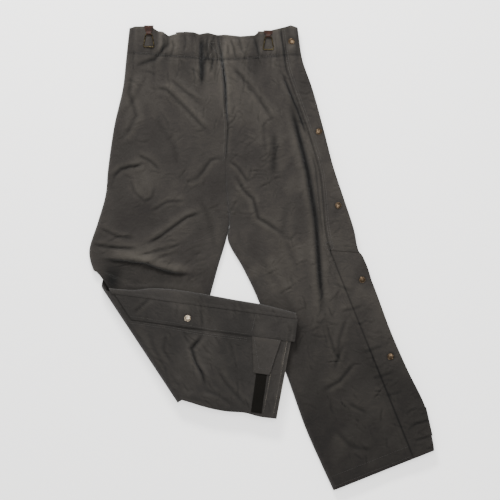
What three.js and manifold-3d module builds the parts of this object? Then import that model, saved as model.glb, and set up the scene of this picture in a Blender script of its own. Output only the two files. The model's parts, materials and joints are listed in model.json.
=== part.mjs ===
// Bunker pants lying flat, front up, with the right lower leg folded over at the knee.
// Millimetres. X is the viewer's right, Y points to the waist, Z is up from the floor.
// Every cloth piece is a sheet swept through rows. A row is a start point, a direction
// across the leg and a middle line of [p, z] points, p being the distance from the start.
import * as THREE from 'three';
import Module from 'manifold-3d';

// ---- driving dimensions -------------------------------------------------------------
const WIDTH = 811;            // widest flat outline, with the folded leg in place
const LENGTH = 1093;          // waist edge to the lowest hem corner
const CLOTH = 1.2;            // one thickness of canvas
const GAP = 0.3;              // clear space between pieces that touch
const SNAP_STACK = 2.5;       // socket and stud, between the flap and the cloth below
const HOLLOW = 10.4;          // loft inside a leg
const CAP_R = 7.5;            // 15 mm snap cap
const CAP_H = 1.4;
const SNAP_INSET = 20;        // snap centre to the flap's free edge
const FLAP_W = 66;            // right thigh's placket flap, root seam to free edge
const FLAP_LOW_W = 54;        // the same on the lower leg, from its hinge line
const SEAM_W = 10;            // topstitched root strip of a flap
const ELASTIC_W = 48;
const CASING_W = 61;          // elastic casing, top edge to its stitch line
const BAND_TH = 0.8;
const ELASTIC_AT = 1.35;      // middle of the elastic, below the panel's inner face
const FACING_AT = ELASTIC_AT + BAND_TH + 0.35;
const HEM_W = 38;
const STRAP_W = 22;
const STRAP_NECK = 11;        // the strap narrows to this at its ring
const STRAP_TH = 1.1;
const STRAP_DROP = 15;        // waist edge to the ring's pivot
const WIRE_R = 1.2;
const RING_W = 28;
const RING_H = 31;
const TAB_ROOT = 68;
const TAB_TIP = 37;
const TAB_LONG = 84;
const PATCH_W = 25;
const PATCH_TH = 0.95;

// ---- levels, all tied to the stack on the underside ----------------------------------
const Z_FLAP = CAP_H + 0.3;                        // underside flap
const Z_BACK = Z_FLAP + CLOTH + SNAP_STACK;        // back panels
const Z_WRAP = Z_FLAP + CLOTH + GAP;               // front panel where it turns under
const Z_FRONT = Z_BACK + CLOTH + HOLLOW;           // front panels
const Z_TOP = Z_FRONT + CLOTH;
const Z_OVER = Z_TOP + GAP;                        // left flap, on the front
const Z_UNDERLAP = Z_OVER - SNAP_STACK - CLOTH;    // back panel below the left flap
const Z_FOLD = Z_TOP + GAP / 2;                    // knee fold axis

// ---- outlines on the floor, drawn at 811 x 1093 and scaled to WIDTH and LENGTH --------
const SX = WIDTH / 811;
const SY = LENGTH / 1093;
const plan = (list) => list.map(([x, y]) => [x * SX, y * SY]);

const LEFT_OUTER = plan([[85, 536], [96, 464], [120, 394], [146, 300], [168, 215], [192, 142],
  [216, 69], [227, 18], [253, -41], [269, -81], [303, -173], [342, -262], [383, -347],
  [400, -422], [405, -452]]);
const LEFT_INNER = plan([[-93, 524], [-91, 464], [-83, 389], [-78, 300], [-82, 224], [-78, 154],
  [-73, 88], [-78, 39], [-43, -25], [-9, -96], [27, -192], [62, -283], [102, -396],
  [140, -483], [169, -546]]);
const THIGH_OUTER = plan([[-310, 541], [-318, 464], [-326, 394], [-346, 307], [-360, 210],
  [-366, 147], [-384, 83], [-404, 18], [-396, -25]]);
const THIGH_INNER = plan([[-95, 524], [-93, 464], [-85, 389], [-80, 300], [-84, 224],
  [-80, 154], [-75, 88], [-84, 39], [-105, -32]]);
const FOLD_OUTER = plan([[-300, -76], [-260, -72], [-213, -74], [-149, -83], [-66, -98],
  [8, -111], [81, -130]]);
const FOLD_INNER = plan([[-163, -340], [-137, -348], [-109, -355], [-79, -360], [-39, -363],
  [-4, -372], [35, -377]]);
const LEFT_ROOT = plan([[43, 545], [52, 476], [60, 436], [88, 356], [114, 281], [135, 206],
  [142, 152], [149, 72], [159, 25], [170, -7], [361, -481]]);
const [AXIS_A, AXIS_B] = plan([[-377, -43], [-186, -333]]);
const [HINGE_A, HINGE_B] = plan([[-322, -88], [80, -143]]);
const LEFT_SNAPS = plan([[70, 506], [134.8, 295], [180, 122], [236, -52], [302, -232]]);
const RIGHT_SNAP = plan([[-173, -142]])[0];
const STRAP_X = { front: [-264 * SX, 16 * SX], rear: [-190 * SX, 2 * SX] };
const LEFT_TAB = plan([[391.5, -384.5]])[0];
const CROTCH_ROW = 4;

// ---- plane geometry -----------------------------------------------------------------
const sub = (a, b) => [a[0] - b[0], a[1] - b[1]];
const mix = (a, b, t) => [a[0] + (b[0] - a[0]) * t, a[1] + (b[1] - a[1]) * t];
const dot = (a, b) => a[0] * b[0] + a[1] * b[1];
const size = (a) => Math.hypot(a[0], a[1]);
const unit = (a) => [a[0] / size(a), a[1] / size(a)];
const along = (o, d, p) => [o[0] + d[0] * p, o[1] + d[1] * p];
const AXIS_DIR = unit(sub(AXIS_B, AXIS_A));
const AXIS_OUT = [AXIS_DIR[1], -AXIS_DIR[0]];      // away from the thigh

// Mirror a floor point in the knee crease: where the folded leg lies when it is opened.
function unfold(q) {
  const v = sub(q, AXIS_A);
  const s = dot(v, AXIS_DIR);
  const r = [AXIS_DIR[0] * s, AXIS_DIR[1] * s];
  return [AXIS_A[0] + 2 * r[0] - v[0], AXIS_A[1] + 2 * r[1] - v[1]];
}

// Distance from a row's start to the place where it crosses a polyline, extended at its ends.
function crossing(o, d, line) {
  let best = null;
  for (let k = 0; k + 1 < line.length; k += 1) {
    const e = sub(line[k + 1], line[k]);
    const den = d[0] * e[1] - d[1] * e[0];
    const w = sub(line[k], o);
    const p = (w[0] * e[1] - w[1] * e[0]) / den;
    const t = (w[0] * d[1] - w[1] * d[0]) / den;
    const off = Math.max(0, -t, t - 1);
    if (best === null || off < best.off - 1e-9) best = { p, off };
  }
  return best.p;
}

function makeRows(outer, inner) {
  return outer.map((o, j) => ({ o, d: unit(sub(inner[j], o)), w: size(sub(inner[j], o)), j }));
}

// ---- solids -------------------------------------------------------------------------
function closedGeometry(points, faces) {
  let volume = 0;
  for (const [a, b, c] of faces) {
    const [p, q, r] = [points[a], points[b], points[c]];
    volume += p[0] * (q[1] * r[2] - q[2] * r[1]) - p[1] * (q[0] * r[2] - q[2] * r[0])
      + p[2] * (q[0] * r[1] - q[1] * r[0]);
  }
  const list = volume < 0 ? faces.map(([a, b, c]) => [a, c, b]) : faces;
  const geometry = new THREE.BufferGeometry();
  geometry.setAttribute('position', new THREE.Float32BufferAttribute(points.flat(), 3));
  geometry.setIndex(list.flat());
  return geometry;
}

// Mitred offset of a middle line to both sides.
function offsetPath(path, thickness, closed) {
  const n = path.length;
  const normals = [];
  for (let k = 0; k < n; k += 1) {
    const u = unit(sub(path[(k + 1) % n], path[k]));
    normals.push([-u[1], u[0]]);
  }
  return [0.5, -0.5].map((side) => path.map((q, k) => {
    const last = !closed && k === n - 1;
    const first = !closed && k === 0;
    const a = first ? normals[0] : normals[(k - 1 + n) % n];
    const b = last ? normals[n - 2] : normals[k];
    const m = 1 + dot(a, b);
    const s = side * thickness / Math.max(m, 0.35);
    return [q[0] + (a[0] + b[0]) * s, q[1] + (a[1] + b[1]) * s];
  }));
}

// A sheet of even thickness swept through rows. A closed sheet is a band that meets itself.
function sheet(rows, thickness, closed = false) {
  const points = [];
  const grids = [0, 1].map((side) => rows.map((row) => {
    const rail = offsetPath(row.path, thickness, closed)[side];
    return rail.map(([p, z]) => {
      const q = along(row.o, row.d, p);
      points.push([q[0], q[1], z]);
      return points.length - 1;
    });
  }));
  const faces = [];
  const quad = (a, b, c, d) => faces.push([a, b, c], [a, c, d]);
  const nr = rows.length;
  const nk = rows[0].path.length;
  const spans = closed ? nk : nk - 1;
  const [g, h] = grids;
  for (let j = 0; j + 1 < nr; j += 1) {
    for (let k = 0; k < spans; k += 1) {
      const m = (k + 1) % nk;
      quad(g[j][k], g[j][m], g[j + 1][m], g[j + 1][k]);
      quad(h[j][k], h[j + 1][k], h[j + 1][m], h[j][m]);
    }
    if (!closed) {
      quad(g[j][0], g[j + 1][0], h[j + 1][0], h[j][0]);
      quad(g[j][nk - 1], h[j][nk - 1], h[j + 1][nk - 1], g[j + 1][nk - 1]);
    }
  }
  for (let k = 0; k < spans; k += 1) {
    const m = (k + 1) % nk;
    quad(g[0][k], h[0][k], h[0][m], g[0][m]);
    quad(g[nr - 1][k], g[nr - 1][m], h[nr - 1][m], h[nr - 1][k]);
  }
  return closedGeometry(points, faces);
}

const wasm = await Module();
wasm.setup();

function toManifold(geometry) {
  const index = geometry.getIndex().array;
  return new wasm.Manifold(new wasm.Mesh({
    numProp: 3,
    vertProperties: new Float32Array(geometry.getAttribute('position').array),
    triVerts: new Uint32Array(index),
  }));
}

function fromManifold(solid) {
  const mesh = solid.getMesh();
  const geometry = new THREE.BufferGeometry();
  geometry.setAttribute('position', new THREE.Float32BufferAttribute(mesh.vertProperties, 3));
  geometry.setIndex(Array.from(mesh.triVerts));
  return geometry;
}

function drill(geometry, centres, r, from = -30) {
  let solid = toManifold(geometry);
  for (const [x, y] of centres) {
    const post = wasm.Manifold.cylinder(100, r, r, 16).translate([x, y, from]);
    solid = solid.subtract(post);
  }
  return fromManifold(solid);
}

// Keep only what lies inside a floor outline.
function trim(geometry, outline) {
  const prism = wasm.Manifold.extrude([outline], 200).translate([0, 0, -60]);
  return fromManifold(toManifold(geometry).intersect(prism));
}

// A turned part about a vertical line. The profile is [r, z] from the axis back to it.
function turned(profile, [x, y], z, flip = 1) {
  const points = [];
  const rings = profile.map(([r, h]) => {
    const zz = z + flip * h;
    if (r === 0) {
      points.push([x, y, zz]);
      return [points.length - 1];
    }
    return Array.from({ length: 20 }, (_, k) => {
      const a = (Math.PI * k) / 10;
      points.push([x + r * Math.cos(a), y + r * Math.sin(a), zz]);
      return points.length - 1;
    });
  });
  const faces = [];
  const span = (a, b) => {
    for (let k = 0; k < 20; k += 1) {
      const m = (k + 1) % 20;
      if (a.length > 1) faces.push([a[k], a[m], b[b.length > 1 ? m : 0]]);
      if (b.length > 1) faces.push([a[a.length > 1 ? k : 0], b[m], b[k]]);
    }
  };
  for (let i = 0; i + 1 < rings.length; i += 1) span(rings[i], rings[i + 1]);
  if (profile[0][0] > 0) span(rings[rings.length - 1], rings[0]);
  return closedGeometry(points, faces);
}

// ---- cloth sections -----------------------------------------------------------------
const mid = (z) => z + CLOTH / 2;
const flatPath = (from, to, z) => [[from, mid(z)], [(from + to) / 2, mid(z)], [to, mid(z)]];

// Each leg is a flat front, a flat back, a strip turned round the outer edge and, below the
// crotch, an inseam strip that closes the inner edge. f grows from 0 to 1 at the crotch.
const SEAM_IN = 14;           // the inseam strip's width
const TURN_IN = 7.5;          // the side turn's width
const below = (row) => row.f ?? (row.j > CROTCH_ROW + 0.5 ? 1 : 0);
const innerEnd = (row) => row.w - GAP / 2;

function leftFront(row) {
  const root = crossing(row.o, row.d, LEFT_ROOT);
  return flatPath(root, innerEnd(row) - SEAM_IN * below(row), Z_FRONT);
}

const leftBack = (row) => flatPath(innerEnd(row), TURN_IN, Z_BACK);

function inseam(row) {
  const f = below(row);
  const end = innerEnd(row);
  const low = mid(Z_FRONT) + f * (mid(Z_BACK + CLOTH + GAP) - mid(Z_FRONT));
  return [[end - SEAM_IN * f + GAP, mid(Z_FRONT)],
    [end - 5 * f, (mid(Z_FRONT) + low) / 2 + 1.5 * f], [end, low]];
}

// A band turned round the outer edge, from one level to the other.
function turnPath(low, high, last = TURN_IN - GAP) {
  return [[TURN_IN - GAP, high], [6.4, high], [2, high - 2.1], [0.6, (low + high) / 2],
    [2, low + 2.1], [6.4, low], [last, low]];
}
const leftTurn = () => turnPath(mid(Z_BACK), mid(Z_UNDERLAP));
const leftUnderlap = (row) => flatPath(TURN_IN,
  crossing(row.o, row.d, LEFT_ROOT) + 8, Z_UNDERLAP);
const thighFront = (row) => flatPath(innerEnd(row) - SEAM_IN * below(row), TURN_IN, Z_FRONT);
const thighTurn = (row, root) => turnPath(mid(Z_WRAP), mid(Z_FRONT), root);

// Front of the lower leg: flat on top, round the outer edge and under to the flap's root.
function lowerFront(row, root) {
  const low = mid(Z_BACK + CLOTH + GAP);
  const end = innerEnd(row);
  return [[end, low], [end - 5, (mid(Z_FRONT) + low) / 2 + 1.5], [end - SEAM_IN, mid(Z_FRONT)],
    [row.w / 2, mid(Z_FRONT)], ...turnPath(mid(Z_WRAP), mid(Z_FRONT), root).slice(1)];
}

const rightBack = (row) => flatPath(9, innerEnd(row), Z_BACK);

const leftRows = makeRows(LEFT_OUTER, LEFT_INNER);

// The thigh ends on the knee axis and the lower leg starts there, a gap apart.
const kneeA = AXIS_A;
const kneeB = AXIS_B;
const shift = (q, d) => along(q, AXIS_OUT, d);
const thighRows = makeRows([...THIGH_OUTER, mix(THIGH_OUTER[8], kneeA, 0.5), shift(kneeA, -0.2)],
  [...THIGH_INNER, mix(THIGH_INNER[8], kneeB, 0.45), shift(kneeB, -0.2)]);
const lowerA = mix(AXIS_A, AXIS_B, 0.1);
const lowerRows = makeRows([shift(lowerA, 0.2), ...FOLD_OUTER.map(unfold)],
  [shift(kneeB, 0.2), ...FOLD_INNER.map(unfold)]).map((r) => ({ ...r, j: r.j + 20 }));
const HINGE = [unfold(HINGE_A), unfold(HINGE_B)];
const THIGH_ROOT = [[-290, 545], [-300, 464], [-307, 394], [-327, 307], [-341, 210],
  [-347, 147], [-364, 83], [-379, 18], [-366, -36]].map(([x, y]) => [x * SX, y * SY]);
const lowerRoot = (row) => crossing(row.o, row.d, HINGE);
const thighRoot = (row) => Math.max(10, crossing(row.o, row.d, THIGH_ROOT));

const withPath = (rows, make) => rows.map((r) => ({ ...r, path: make(r) }));

// ---- snaps ---------------------------------------------------------------------------
// Heights are counted from the flap's outer face. The cap's stem passes the flap.
const capProfile = (stem) => [[0, CAP_H], [3.5, CAP_H - 0.15], [6.2, CAP_H - 0.55], [CAP_R, 0.35],
  [CAP_R, 0.1], [2, 0.1], [2, -stem], [0, -stem]];
const capWithSocket = [[0, CAP_H], [3.5, CAP_H - 0.15], [6.2, CAP_H - 0.55], [CAP_R, 0.35],
  [CAP_R, 0.1], [2, 0.1], [2, -CLOTH - 0.1], [6, -CLOTH - 0.1], [6, -CLOTH - 1.3],
  [2.3, -CLOTH - 1.3], [2.3, -CLOTH - 0.5], [0, -CLOTH - 0.5]];
const socketProfile = [[2.3, -CLOTH - 0.1], [6, -CLOTH - 0.1], [6, -CLOTH - 1.3],
  [2.3, -CLOTH - 1.3]];
const S1 = -CLOTH - SNAP_STACK;                    // face of the cloth below the flap
const studProfile = [[0, S1 + 1.75], [1.9, S1 + 1.6], [1.9, S1 + 0.85], [5.5, S1 + 0.7],
  [5.5, S1 + 0.1], [1.7, S1 + 0.1], [1.7, S1 + 0.45], [0, S1 + 0.45]];
const postProfile = [[0, S1 + 0.3], [1.4, S1 + 0.3], [1.4, S1 - CLOTH - 0.1],
  [5, S1 - CLOTH - 0.1], [5, S1 - CLOTH - 0.7], [0, S1 - CLOTH - 0.7]];
const studWithPost = [[0, S1 + 1.75], [1.9, S1 + 1.6], [1.9, S1 + 0.85], [5.5, S1 + 0.7],
  [5.5, S1 + 0.1], [1.4, S1 + 0.1], [1.4, S1 - CLOTH - 0.1], [5, S1 - CLOTH - 0.1],
  [5, S1 - CLOTH - 0.7], [0, S1 - CLOTH - 0.7]];
const closedSnap = [[0, CAP_H], [3.5, CAP_H - 0.15], [6.2, CAP_H - 0.55], [CAP_R, 0.35],
  [CAP_R, 0.1], [2, 0.1], [2, -CLOTH - 0.1], [6, -CLOTH - 0.1], [6, S1 + 0.1], [1.4, S1 + 0.1],
  [1.4, S1 - CLOTH - 0.1], [5, S1 - CLOTH - 0.1], [5, S1 - CLOTH - 0.7], [0, S1 - CLOTH - 0.7]];
const HOLE_R = 2.3;

// ---- assembly ------------------------------------------------------------------------
const group = new THREE.Group();
group.name = 'bunker_pants';

function add(name, geometry, colour, roughness, metalness, turn = null) {
  if (turn) geometry.applyMatrix4(turn);
  const material = new THREE.MeshStandardMaterial({ color: colour, roughness, metalness });
  const mesh = new THREE.Mesh(geometry, material);
  mesh.name = name;
  group.add(mesh);
}
const cloth = (name, geometry, turn) => add(name, geometry, '#494641', 0.9, 0, turn);
const canvasDark = (name, geometry, turn) => add(name, geometry, '#33302e', 0.9, 0, turn);
const nickel = (name, geometry, turn) => add(name, geometry, '#bfb6ab', 0.35, 1, turn);
const hook = (name, geometry, turn) => add(name, geometry, '#1b1917', 1, 0, turn);
const hide = (name, geometry) => add(name, geometry, '#5a4032', 0.7, 0);
const bronze = (name, geometry) => add(name, geometry, '#6a5d42', 0.4, 0.9);

// Half a turn about the knee axis carries the open lower leg to its folded place.
const fold = new THREE.Matrix4().makeTranslation(AXIS_A[0], AXIS_A[1], Z_FOLD)
  .multiply(new THREE.Matrix4().makeRotationAxis(
    new THREE.Vector3(AXIS_DIR[0], AXIS_DIR[1], 0), Math.PI))
  .multiply(new THREE.Matrix4().makeTranslation(-AXIS_A[0], -AXIS_A[1], -Z_FOLD));

// Leg panels
const lowerSnap = unfold(RIGHT_SNAP);
const thighSnap = (j, t, root) => along(mix(thighRows[j].o, thighRows[j + 1].o, t),
  thighRows[j].d, root + FLAP_W - SNAP_INSET);
const rightSnaps = [[0, 0.45], [2, 0.6], [4, 0.6]]
  .map(([j, t]) => thighSnap(j, t, thighRoot(thighRows[j])))
  .concat([thighSnap(7, 0.3, 20)]);
const inseamRows = (outer, inner, rows) => {
  const k = CROTCH_ROW;
  const half = makeRows([mix(outer[k], outer[k + 1], 0.5)], [mix(inner[k], inner[k + 1], 0.5)]);
  return [{ ...half[0], f: 0.5 }, ...rows.slice(k + 1)];
};
cloth('front_left_panel', sheet(withPath(leftRows, leftFront), CLOTH));
cloth('back_left_panel', sheet(withPath(leftRows, leftBack), CLOTH));
cloth('left_side_turn', sheet(withPath(leftRows, leftTurn), CLOTH));
cloth('left_underlap',
  drill(sheet(withPath(leftRows, leftUnderlap), CLOTH), LEFT_SNAPS, HOLE_R));
cloth('left_inseam', sheet(withPath(inseamRows(LEFT_OUTER, LEFT_INNER, leftRows), inseam), CLOTH));
cloth('front_right_thigh_panel', sheet(withPath(thighRows, thighFront), CLOTH));
cloth('right_side_turn',
  sheet(withPath(thighRows, (r) => thighTurn(r, thighRoot(r))), CLOTH));
cloth('right_inseam', sheet(withPath(inseamRows(THIGH_OUTER, THIGH_INNER, thighRows), inseam),
  CLOTH));
cloth('back_right_thigh_panel',
  drill(sheet(withPath(thighRows, rightBack), CLOTH), rightSnaps, HOLE_R));
canvasDark('right_lower_front_panel',
  sheet(withPath(lowerRows, (r) => lowerFront(r, lowerRoot(r))), CLOTH), fold);
canvasDark('right_lower_back_panel',
  drill(sheet(withPath(lowerRows, rightBack), CLOTH), [lowerSnap], HOLE_R), fold);

// The back cloth turns round the outside of the knee fold.
function kneeFold() {
  const r = Z_FOLD - mid(Z_BACK);
  const path = [];
  for (let k = 0; k <= 10; k += 1) {
    const a = -Math.PI / 2 + (Math.PI * k) / 10;
    path.push([r * Math.cos(a) + 0.2, Z_FOLD + r * Math.sin(a)]);
  }
  const rows = [0.14, 0.32, 0.5, 0.7, 0.88, 0.985].map((t) => (
    { o: mix(AXIS_A, AXIS_B, t), d: AXIS_OUT, path }));
  return sheet(rows, CLOTH);
}
canvasDark('knee_fold', kneeFold());

// ---- waist: an elastic band between the panels and a facing --------------------------
// Height of the waist edge at x, which is two straight lines from a low centre front.
function waistEdge(x) {
  const [L, R] = [THIGH_OUTER[0], LEFT_OUTER[0]];
  const [c, low] = [-94 * SX, 524 * SY];
  const line = (a, b, t) => a + (b - a) * t;
  return x < c ? line(L[1], low, (x - L[0]) / (c - L[0])) : line(low, R[1], (x - c) / (R[0] - c));
}

function waistBand(level, thickness, drops, inset) {
  const zl = Z_BACK + CLOTH + level;
  const zh = Z_FRONT - level;
  const L = thighRows[0];
  const R = leftRows[0];
  const left = along(L.o, L.d, inset)[0];
  const right = along(R.o, R.d, inset)[0];
  const zr = Math.min(zh, Z_UNDERLAP - level);
  const root = 43 * SX - 10;
  const c = Math.min(3, (zr - zl) / 2 - 0.2);
  const b = Math.min(3, (zh - zl) / 2 - 0.2);
  const stops = [[left + 5, zl], [left, zl + b], [left, zh - b], [left + 5, zh], [-94 * SX, zh],
    [root - 5, zh], [root, zr], [right - 5, zr], [right, zr - c], [right, zl + c],
    [right - 5, zl], [-94 * SX, zl]];
  return bandSolid(stops, waistEdge, drops, thickness);
}

// A closed band round the waist. drops are distances below the waist edge.
function bandSolid(stops, top, drops, thickness) {
  const sides = offsetPath(stops, thickness, true);
  const points = [];
  const grids = sides.map((rail) => drops.map((drop) => rail.map(([x, z]) => {
    points.push([x, top(x) - drop, z]);
    return points.length - 1;
  })));
  const faces = [];
  const quad = (a, b, c, d) => faces.push([a, b, c], [a, c, d]);
  const n = stops.length;
  const last = drops.length - 1;
  const [g, h] = grids;
  for (let k = 0; k < n; k += 1) {
    const m = (k + 1) % n;
    for (let j = 0; j < last; j += 1) {
      quad(g[j][k], g[j][m], g[j + 1][m], g[j + 1][k]);
      quad(h[j][k], h[j + 1][k], h[j + 1][m], h[j][m]);
    }
    quad(g[0][k], h[0][k], h[0][m], g[0][m]);
    quad(g[last][k], g[last][m], h[last][m], h[last][k]);
  }
  return closedGeometry(points, faces);
}
add('waist_elastic', waistBand(ELASTIC_AT, BAND_TH, [4, 4 + ELASTIC_W], 3.4), '#d8d2c4', 0.9, 0);
canvasDark('waist_facing', waistBand(FACING_AT, BAND_TH, [1, CASING_W], 6.4));

// ---- placket flaps -------------------------------------------------------------------
// The root strip lies on the front panel; the flap starts at the root seam beside it.
const stripRows = (rows, from, to, z) => rows.map((r) => (
  { ...r, path: flatPath(from(r), to(r), z) }));
const leftRoot = (r) => crossing(r.o, r.d, LEFT_ROOT);
canvasDark('left_flap_seam', sheet(stripRows(leftRows, (r) => leftRoot(r) + GAP / 2,
  (r) => leftRoot(r) + SEAM_W, Z_OVER), CLOTH));
const SPLIT = 7;
const lowerLeft = leftRows.slice(SPLIT);
lowerLeft[0] = makeRows([mix(LEFT_OUTER[SPLIT], LEFT_OUTER[SPLIT + 1], 0.1)],
  [mix(LEFT_INNER[SPLIT], LEFT_INNER[SPLIT + 1], 0.1)])[0];
const upperLeft = leftRows.slice(0, SPLIT).concat(makeRows(
  [mix(LEFT_OUTER[SPLIT], LEFT_OUTER[SPLIT + 1], 0.06)],
  [mix(LEFT_INNER[SPLIT], LEFT_INNER[SPLIT + 1], 0.06)]));
const leftFlap = (rows, snaps) => drill(sheet(stripRows(rows, () => 0.4,
  (r) => leftRoot(r) - GAP / 2, Z_OVER), CLOTH), snaps, HOLE_R);
cloth('left_flap_upper', leftFlap(upperLeft, LEFT_SNAPS.slice(0, 3)));
canvasDark('left_flap_lower', leftFlap(lowerLeft, LEFT_SNAPS.slice(3)));

const thighFlapRows = thighRows.slice(0, 9);
cloth('right_flap_seam_upper', sheet(stripRows(thighFlapRows, (r) => thighRoot(r) - SEAM_W,
  (r) => thighRoot(r) - GAP / 2, Z_FLAP), CLOTH));
cloth('right_flap_upper', drill(sheet(stripRows(thighFlapRows, (r) => thighRoot(r) + GAP / 2,
  (r) => thighRoot(r) + FLAP_W, Z_FLAP), CLOTH), rightSnaps, HOLE_R));

// Lower leg: flap, strip and tab are laid out along the hinge line of the folded leg.
const HU = unit(sub(HINGE_B, HINGE_A));
const HV = [HU[1], -HU[0]];
function hingeRow(u, v, dir = HV) {
  const q = along(along(HINGE_A, HU, u), HV, v);
  const o = unfold(q);
  return { o, d: unit(sub(unfold(along(q, dir, 10)), o)) };
}
const HL = size(sub(HINGE_B, HINGE_A));
const slant = dot(AXIS_DIR, HV);
const lowFlapRows = [{ ...hingeRow(0, 0, AXIS_DIR), k: 1 / slant }]
  .concat([0.2, 0.4, 0.6, 0.8, 1].map((t) => ({ ...hingeRow(t * HL + 5 * (t === 1), 0), k: 1 })));
canvasDark('right_flap_seam_lower', sheet(stripRows(lowFlapRows,
  (r) => -Math.min(SEAM_W, 7) * r.k, (r) => (-GAP / 2) * r.k, Z_FLAP), CLOTH), fold);
canvasDark('right_flap_lower', drill(sheet(stripRows(lowFlapRows, (r) => (GAP / 2) * r.k,
  (r) => FLAP_LOW_W * r.k, Z_FLAP), CLOTH), [lowerSnap], HOLE_R), fold);

// ---- cuff tabs with their hook and loop ----------------------------------------------
// Right tab: from the flap's free edge across the back of the cuff.
const TAB_U = 344 * SX;
const tabRow = (u, from, to, z, th) => ({ ...hingeRow(u, 0), path: [[from, z + th / 2],
  [(from + to) / 2, z + th / 2], [to, z + th / 2]] });
const TAB_V = FLAP_LOW_W + 0.4;
const tabOutline = [[-TAB_ROOT / 2, 0], [TAB_ROOT / 2, 0], [TAB_TIP / 2, TAB_LONG],
  [-TAB_TIP / 2, TAB_LONG]].map(([u, v]) => hingeRow(TAB_U + u, TAB_V + v).o);
const ccw = (loop) => {
  let a = 0;
  loop.forEach((q, k) => {
    const n = loop[(k + 1) % loop.length];
    a += q[0] * n[1] - q[1] * n[0];
  });
  return a > 0 ? loop : loop.slice().reverse();
};
const tabBlank = sheet([-1, 0, 1].map((t) => tabRow(TAB_U + (t * TAB_ROOT) / 2, TAB_V,
  TAB_V + TAB_LONG, Z_FLAP, CLOTH)), CLOTH);
canvasDark('right_cuff_tab', trim(tabBlank, ccw(tabOutline)), fold);
const HOOK_Z = Z_FLAP + CLOTH + 0.2;
const LOOP_Z = Z_BACK - 0.2 - PATCH_TH;
const patch = (from, to, z) => sheet([-1, 1].map((t) => tabRow(TAB_U + (t * PATCH_W) / 2,
  from, to, z, PATCH_TH)), PATCH_TH);
hook('right_hook_patch', patch(TAB_V + TAB_LONG - 50, TAB_V + TAB_LONG - 3, HOOK_Z), fold);
hook('right_loop_patch', patch(TAB_V + 34, TAB_V + 176, LOOP_Z), fold);

// Left tab: down the leg's outer edge and under it.
const TU = unit(sub(LEFT_OUTER[13], LEFT_OUTER[12]));
const TV = [TU[1], -TU[0]];
const leftTabRow = (s, path) => ({ o: along(LEFT_TAB, TU, s), d: TV, path });
const tabSide = [[-1.4, Z_OVER - 0.5], [-1.4, mid(Z_FLAP) + 2.4], [1.6, mid(Z_FLAP)],
  [40, mid(Z_FLAP)], [TAB_LONG, mid(Z_FLAP)]];
const leftBlank = sheet([-0.5, 0, 0.5].map((t) => leftTabRow(t * TAB_ROOT, tabSide)), CLOTH);
const leftTabOutline = [[-TAB_ROOT / 2, -4], [TAB_ROOT / 2, -4], [TAB_ROOT / 2, 4],
  [TAB_TIP / 2, TAB_LONG + 1], [-TAB_TIP / 2, TAB_LONG + 1], [-TAB_ROOT / 2, 4]]
  .map(([s, p]) => along(along(LEFT_TAB, TU, s), TV, p));
canvasDark('left_cuff_tab', trim(leftBlank, ccw(leftTabOutline)));
const leftPatch = (from, to, z) => sheet([-0.5, 0.5].map((t) => leftTabRow(t * PATCH_W,
  [[from, z + PATCH_TH / 2], [(from + to) / 2, z + PATCH_TH / 2], [to, z + PATCH_TH / 2]])),
PATCH_TH);
hook('left_hook_patch', leftPatch(TAB_LONG - 50, TAB_LONG - 3, HOOK_Z));
hook('left_loop_patch', leftPatch(20, 176, LOOP_Z));

// ---- hem facings ---------------------------------------------------------------------
const FT = 0.8;
const zi = Z_BACK + CLOTH + 0.2 + FT / 2;
const zt = Z_FRONT - 0.2 - FT / 2;
function leftFacing(r) {
  const root = leftRoot(r);
  const zu = Z_UNDERLAP - 0.2 - FT / 2;
  return [[8.5, zi], [4, zi + 2.2], [3.4, (zi + zu) / 2], [4, zu - 2.2], [8.5, zu],
    [root + 9, zu], [root + 12, zt], [r.w - 18, zt], [r.w - 10, zt - 4], [r.w - 7, zi]];
}
const rightFacing = (r) => [[11, zi], [5.6, zi + 2.4], [4.2, (zi + zt) / 2], [5.6, zt - 2.4],
  [11, zt], [r.w - 18, zt], [r.w - 10, zt - 4], [r.w - 7, zi]];
function facing(outer, inner, make) {
  const n = outer.length - 1;
  const back = (list) => mix(list[n], list[n - 1], HEM_W / size(sub(
    mix(outer[n], inner[n], 0.5), mix(outer[n - 1], inner[n - 1], 0.5))));
  const rows = makeRows([back(outer), mix(outer[n], back(outer), 0.03)],
    [back(inner), mix(inner[n], back(inner), 0.03)]);
  return sheet(withPath(rows, make), FT, true);
}
canvasDark('left_hem_facing', facing(LEFT_OUTER, LEFT_INNER, leftFacing));
canvasDark('right_hem_facing', facing(FOLD_OUTER.map(unfold), FOLD_INNER.map(unfold),
  rightFacing), fold);

// ---- suspender straps and rings -------------------------------------------------------
const EYE_R = WIRE_R + 0.25 + STRAP_TH / 2;        // middle line of the strap's eye
const EYE_Z = Z_TOP + 0.2 + EYE_R + STRAP_TH / 2;
const TAIL_Z = Z_FRONT - FACING_AT - BAND_TH / 2 - GAP - STRAP_TH / 2;
const swap = (z) => Z_TOP + Z_BACK - z;            // front level to the matching rear level

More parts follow.
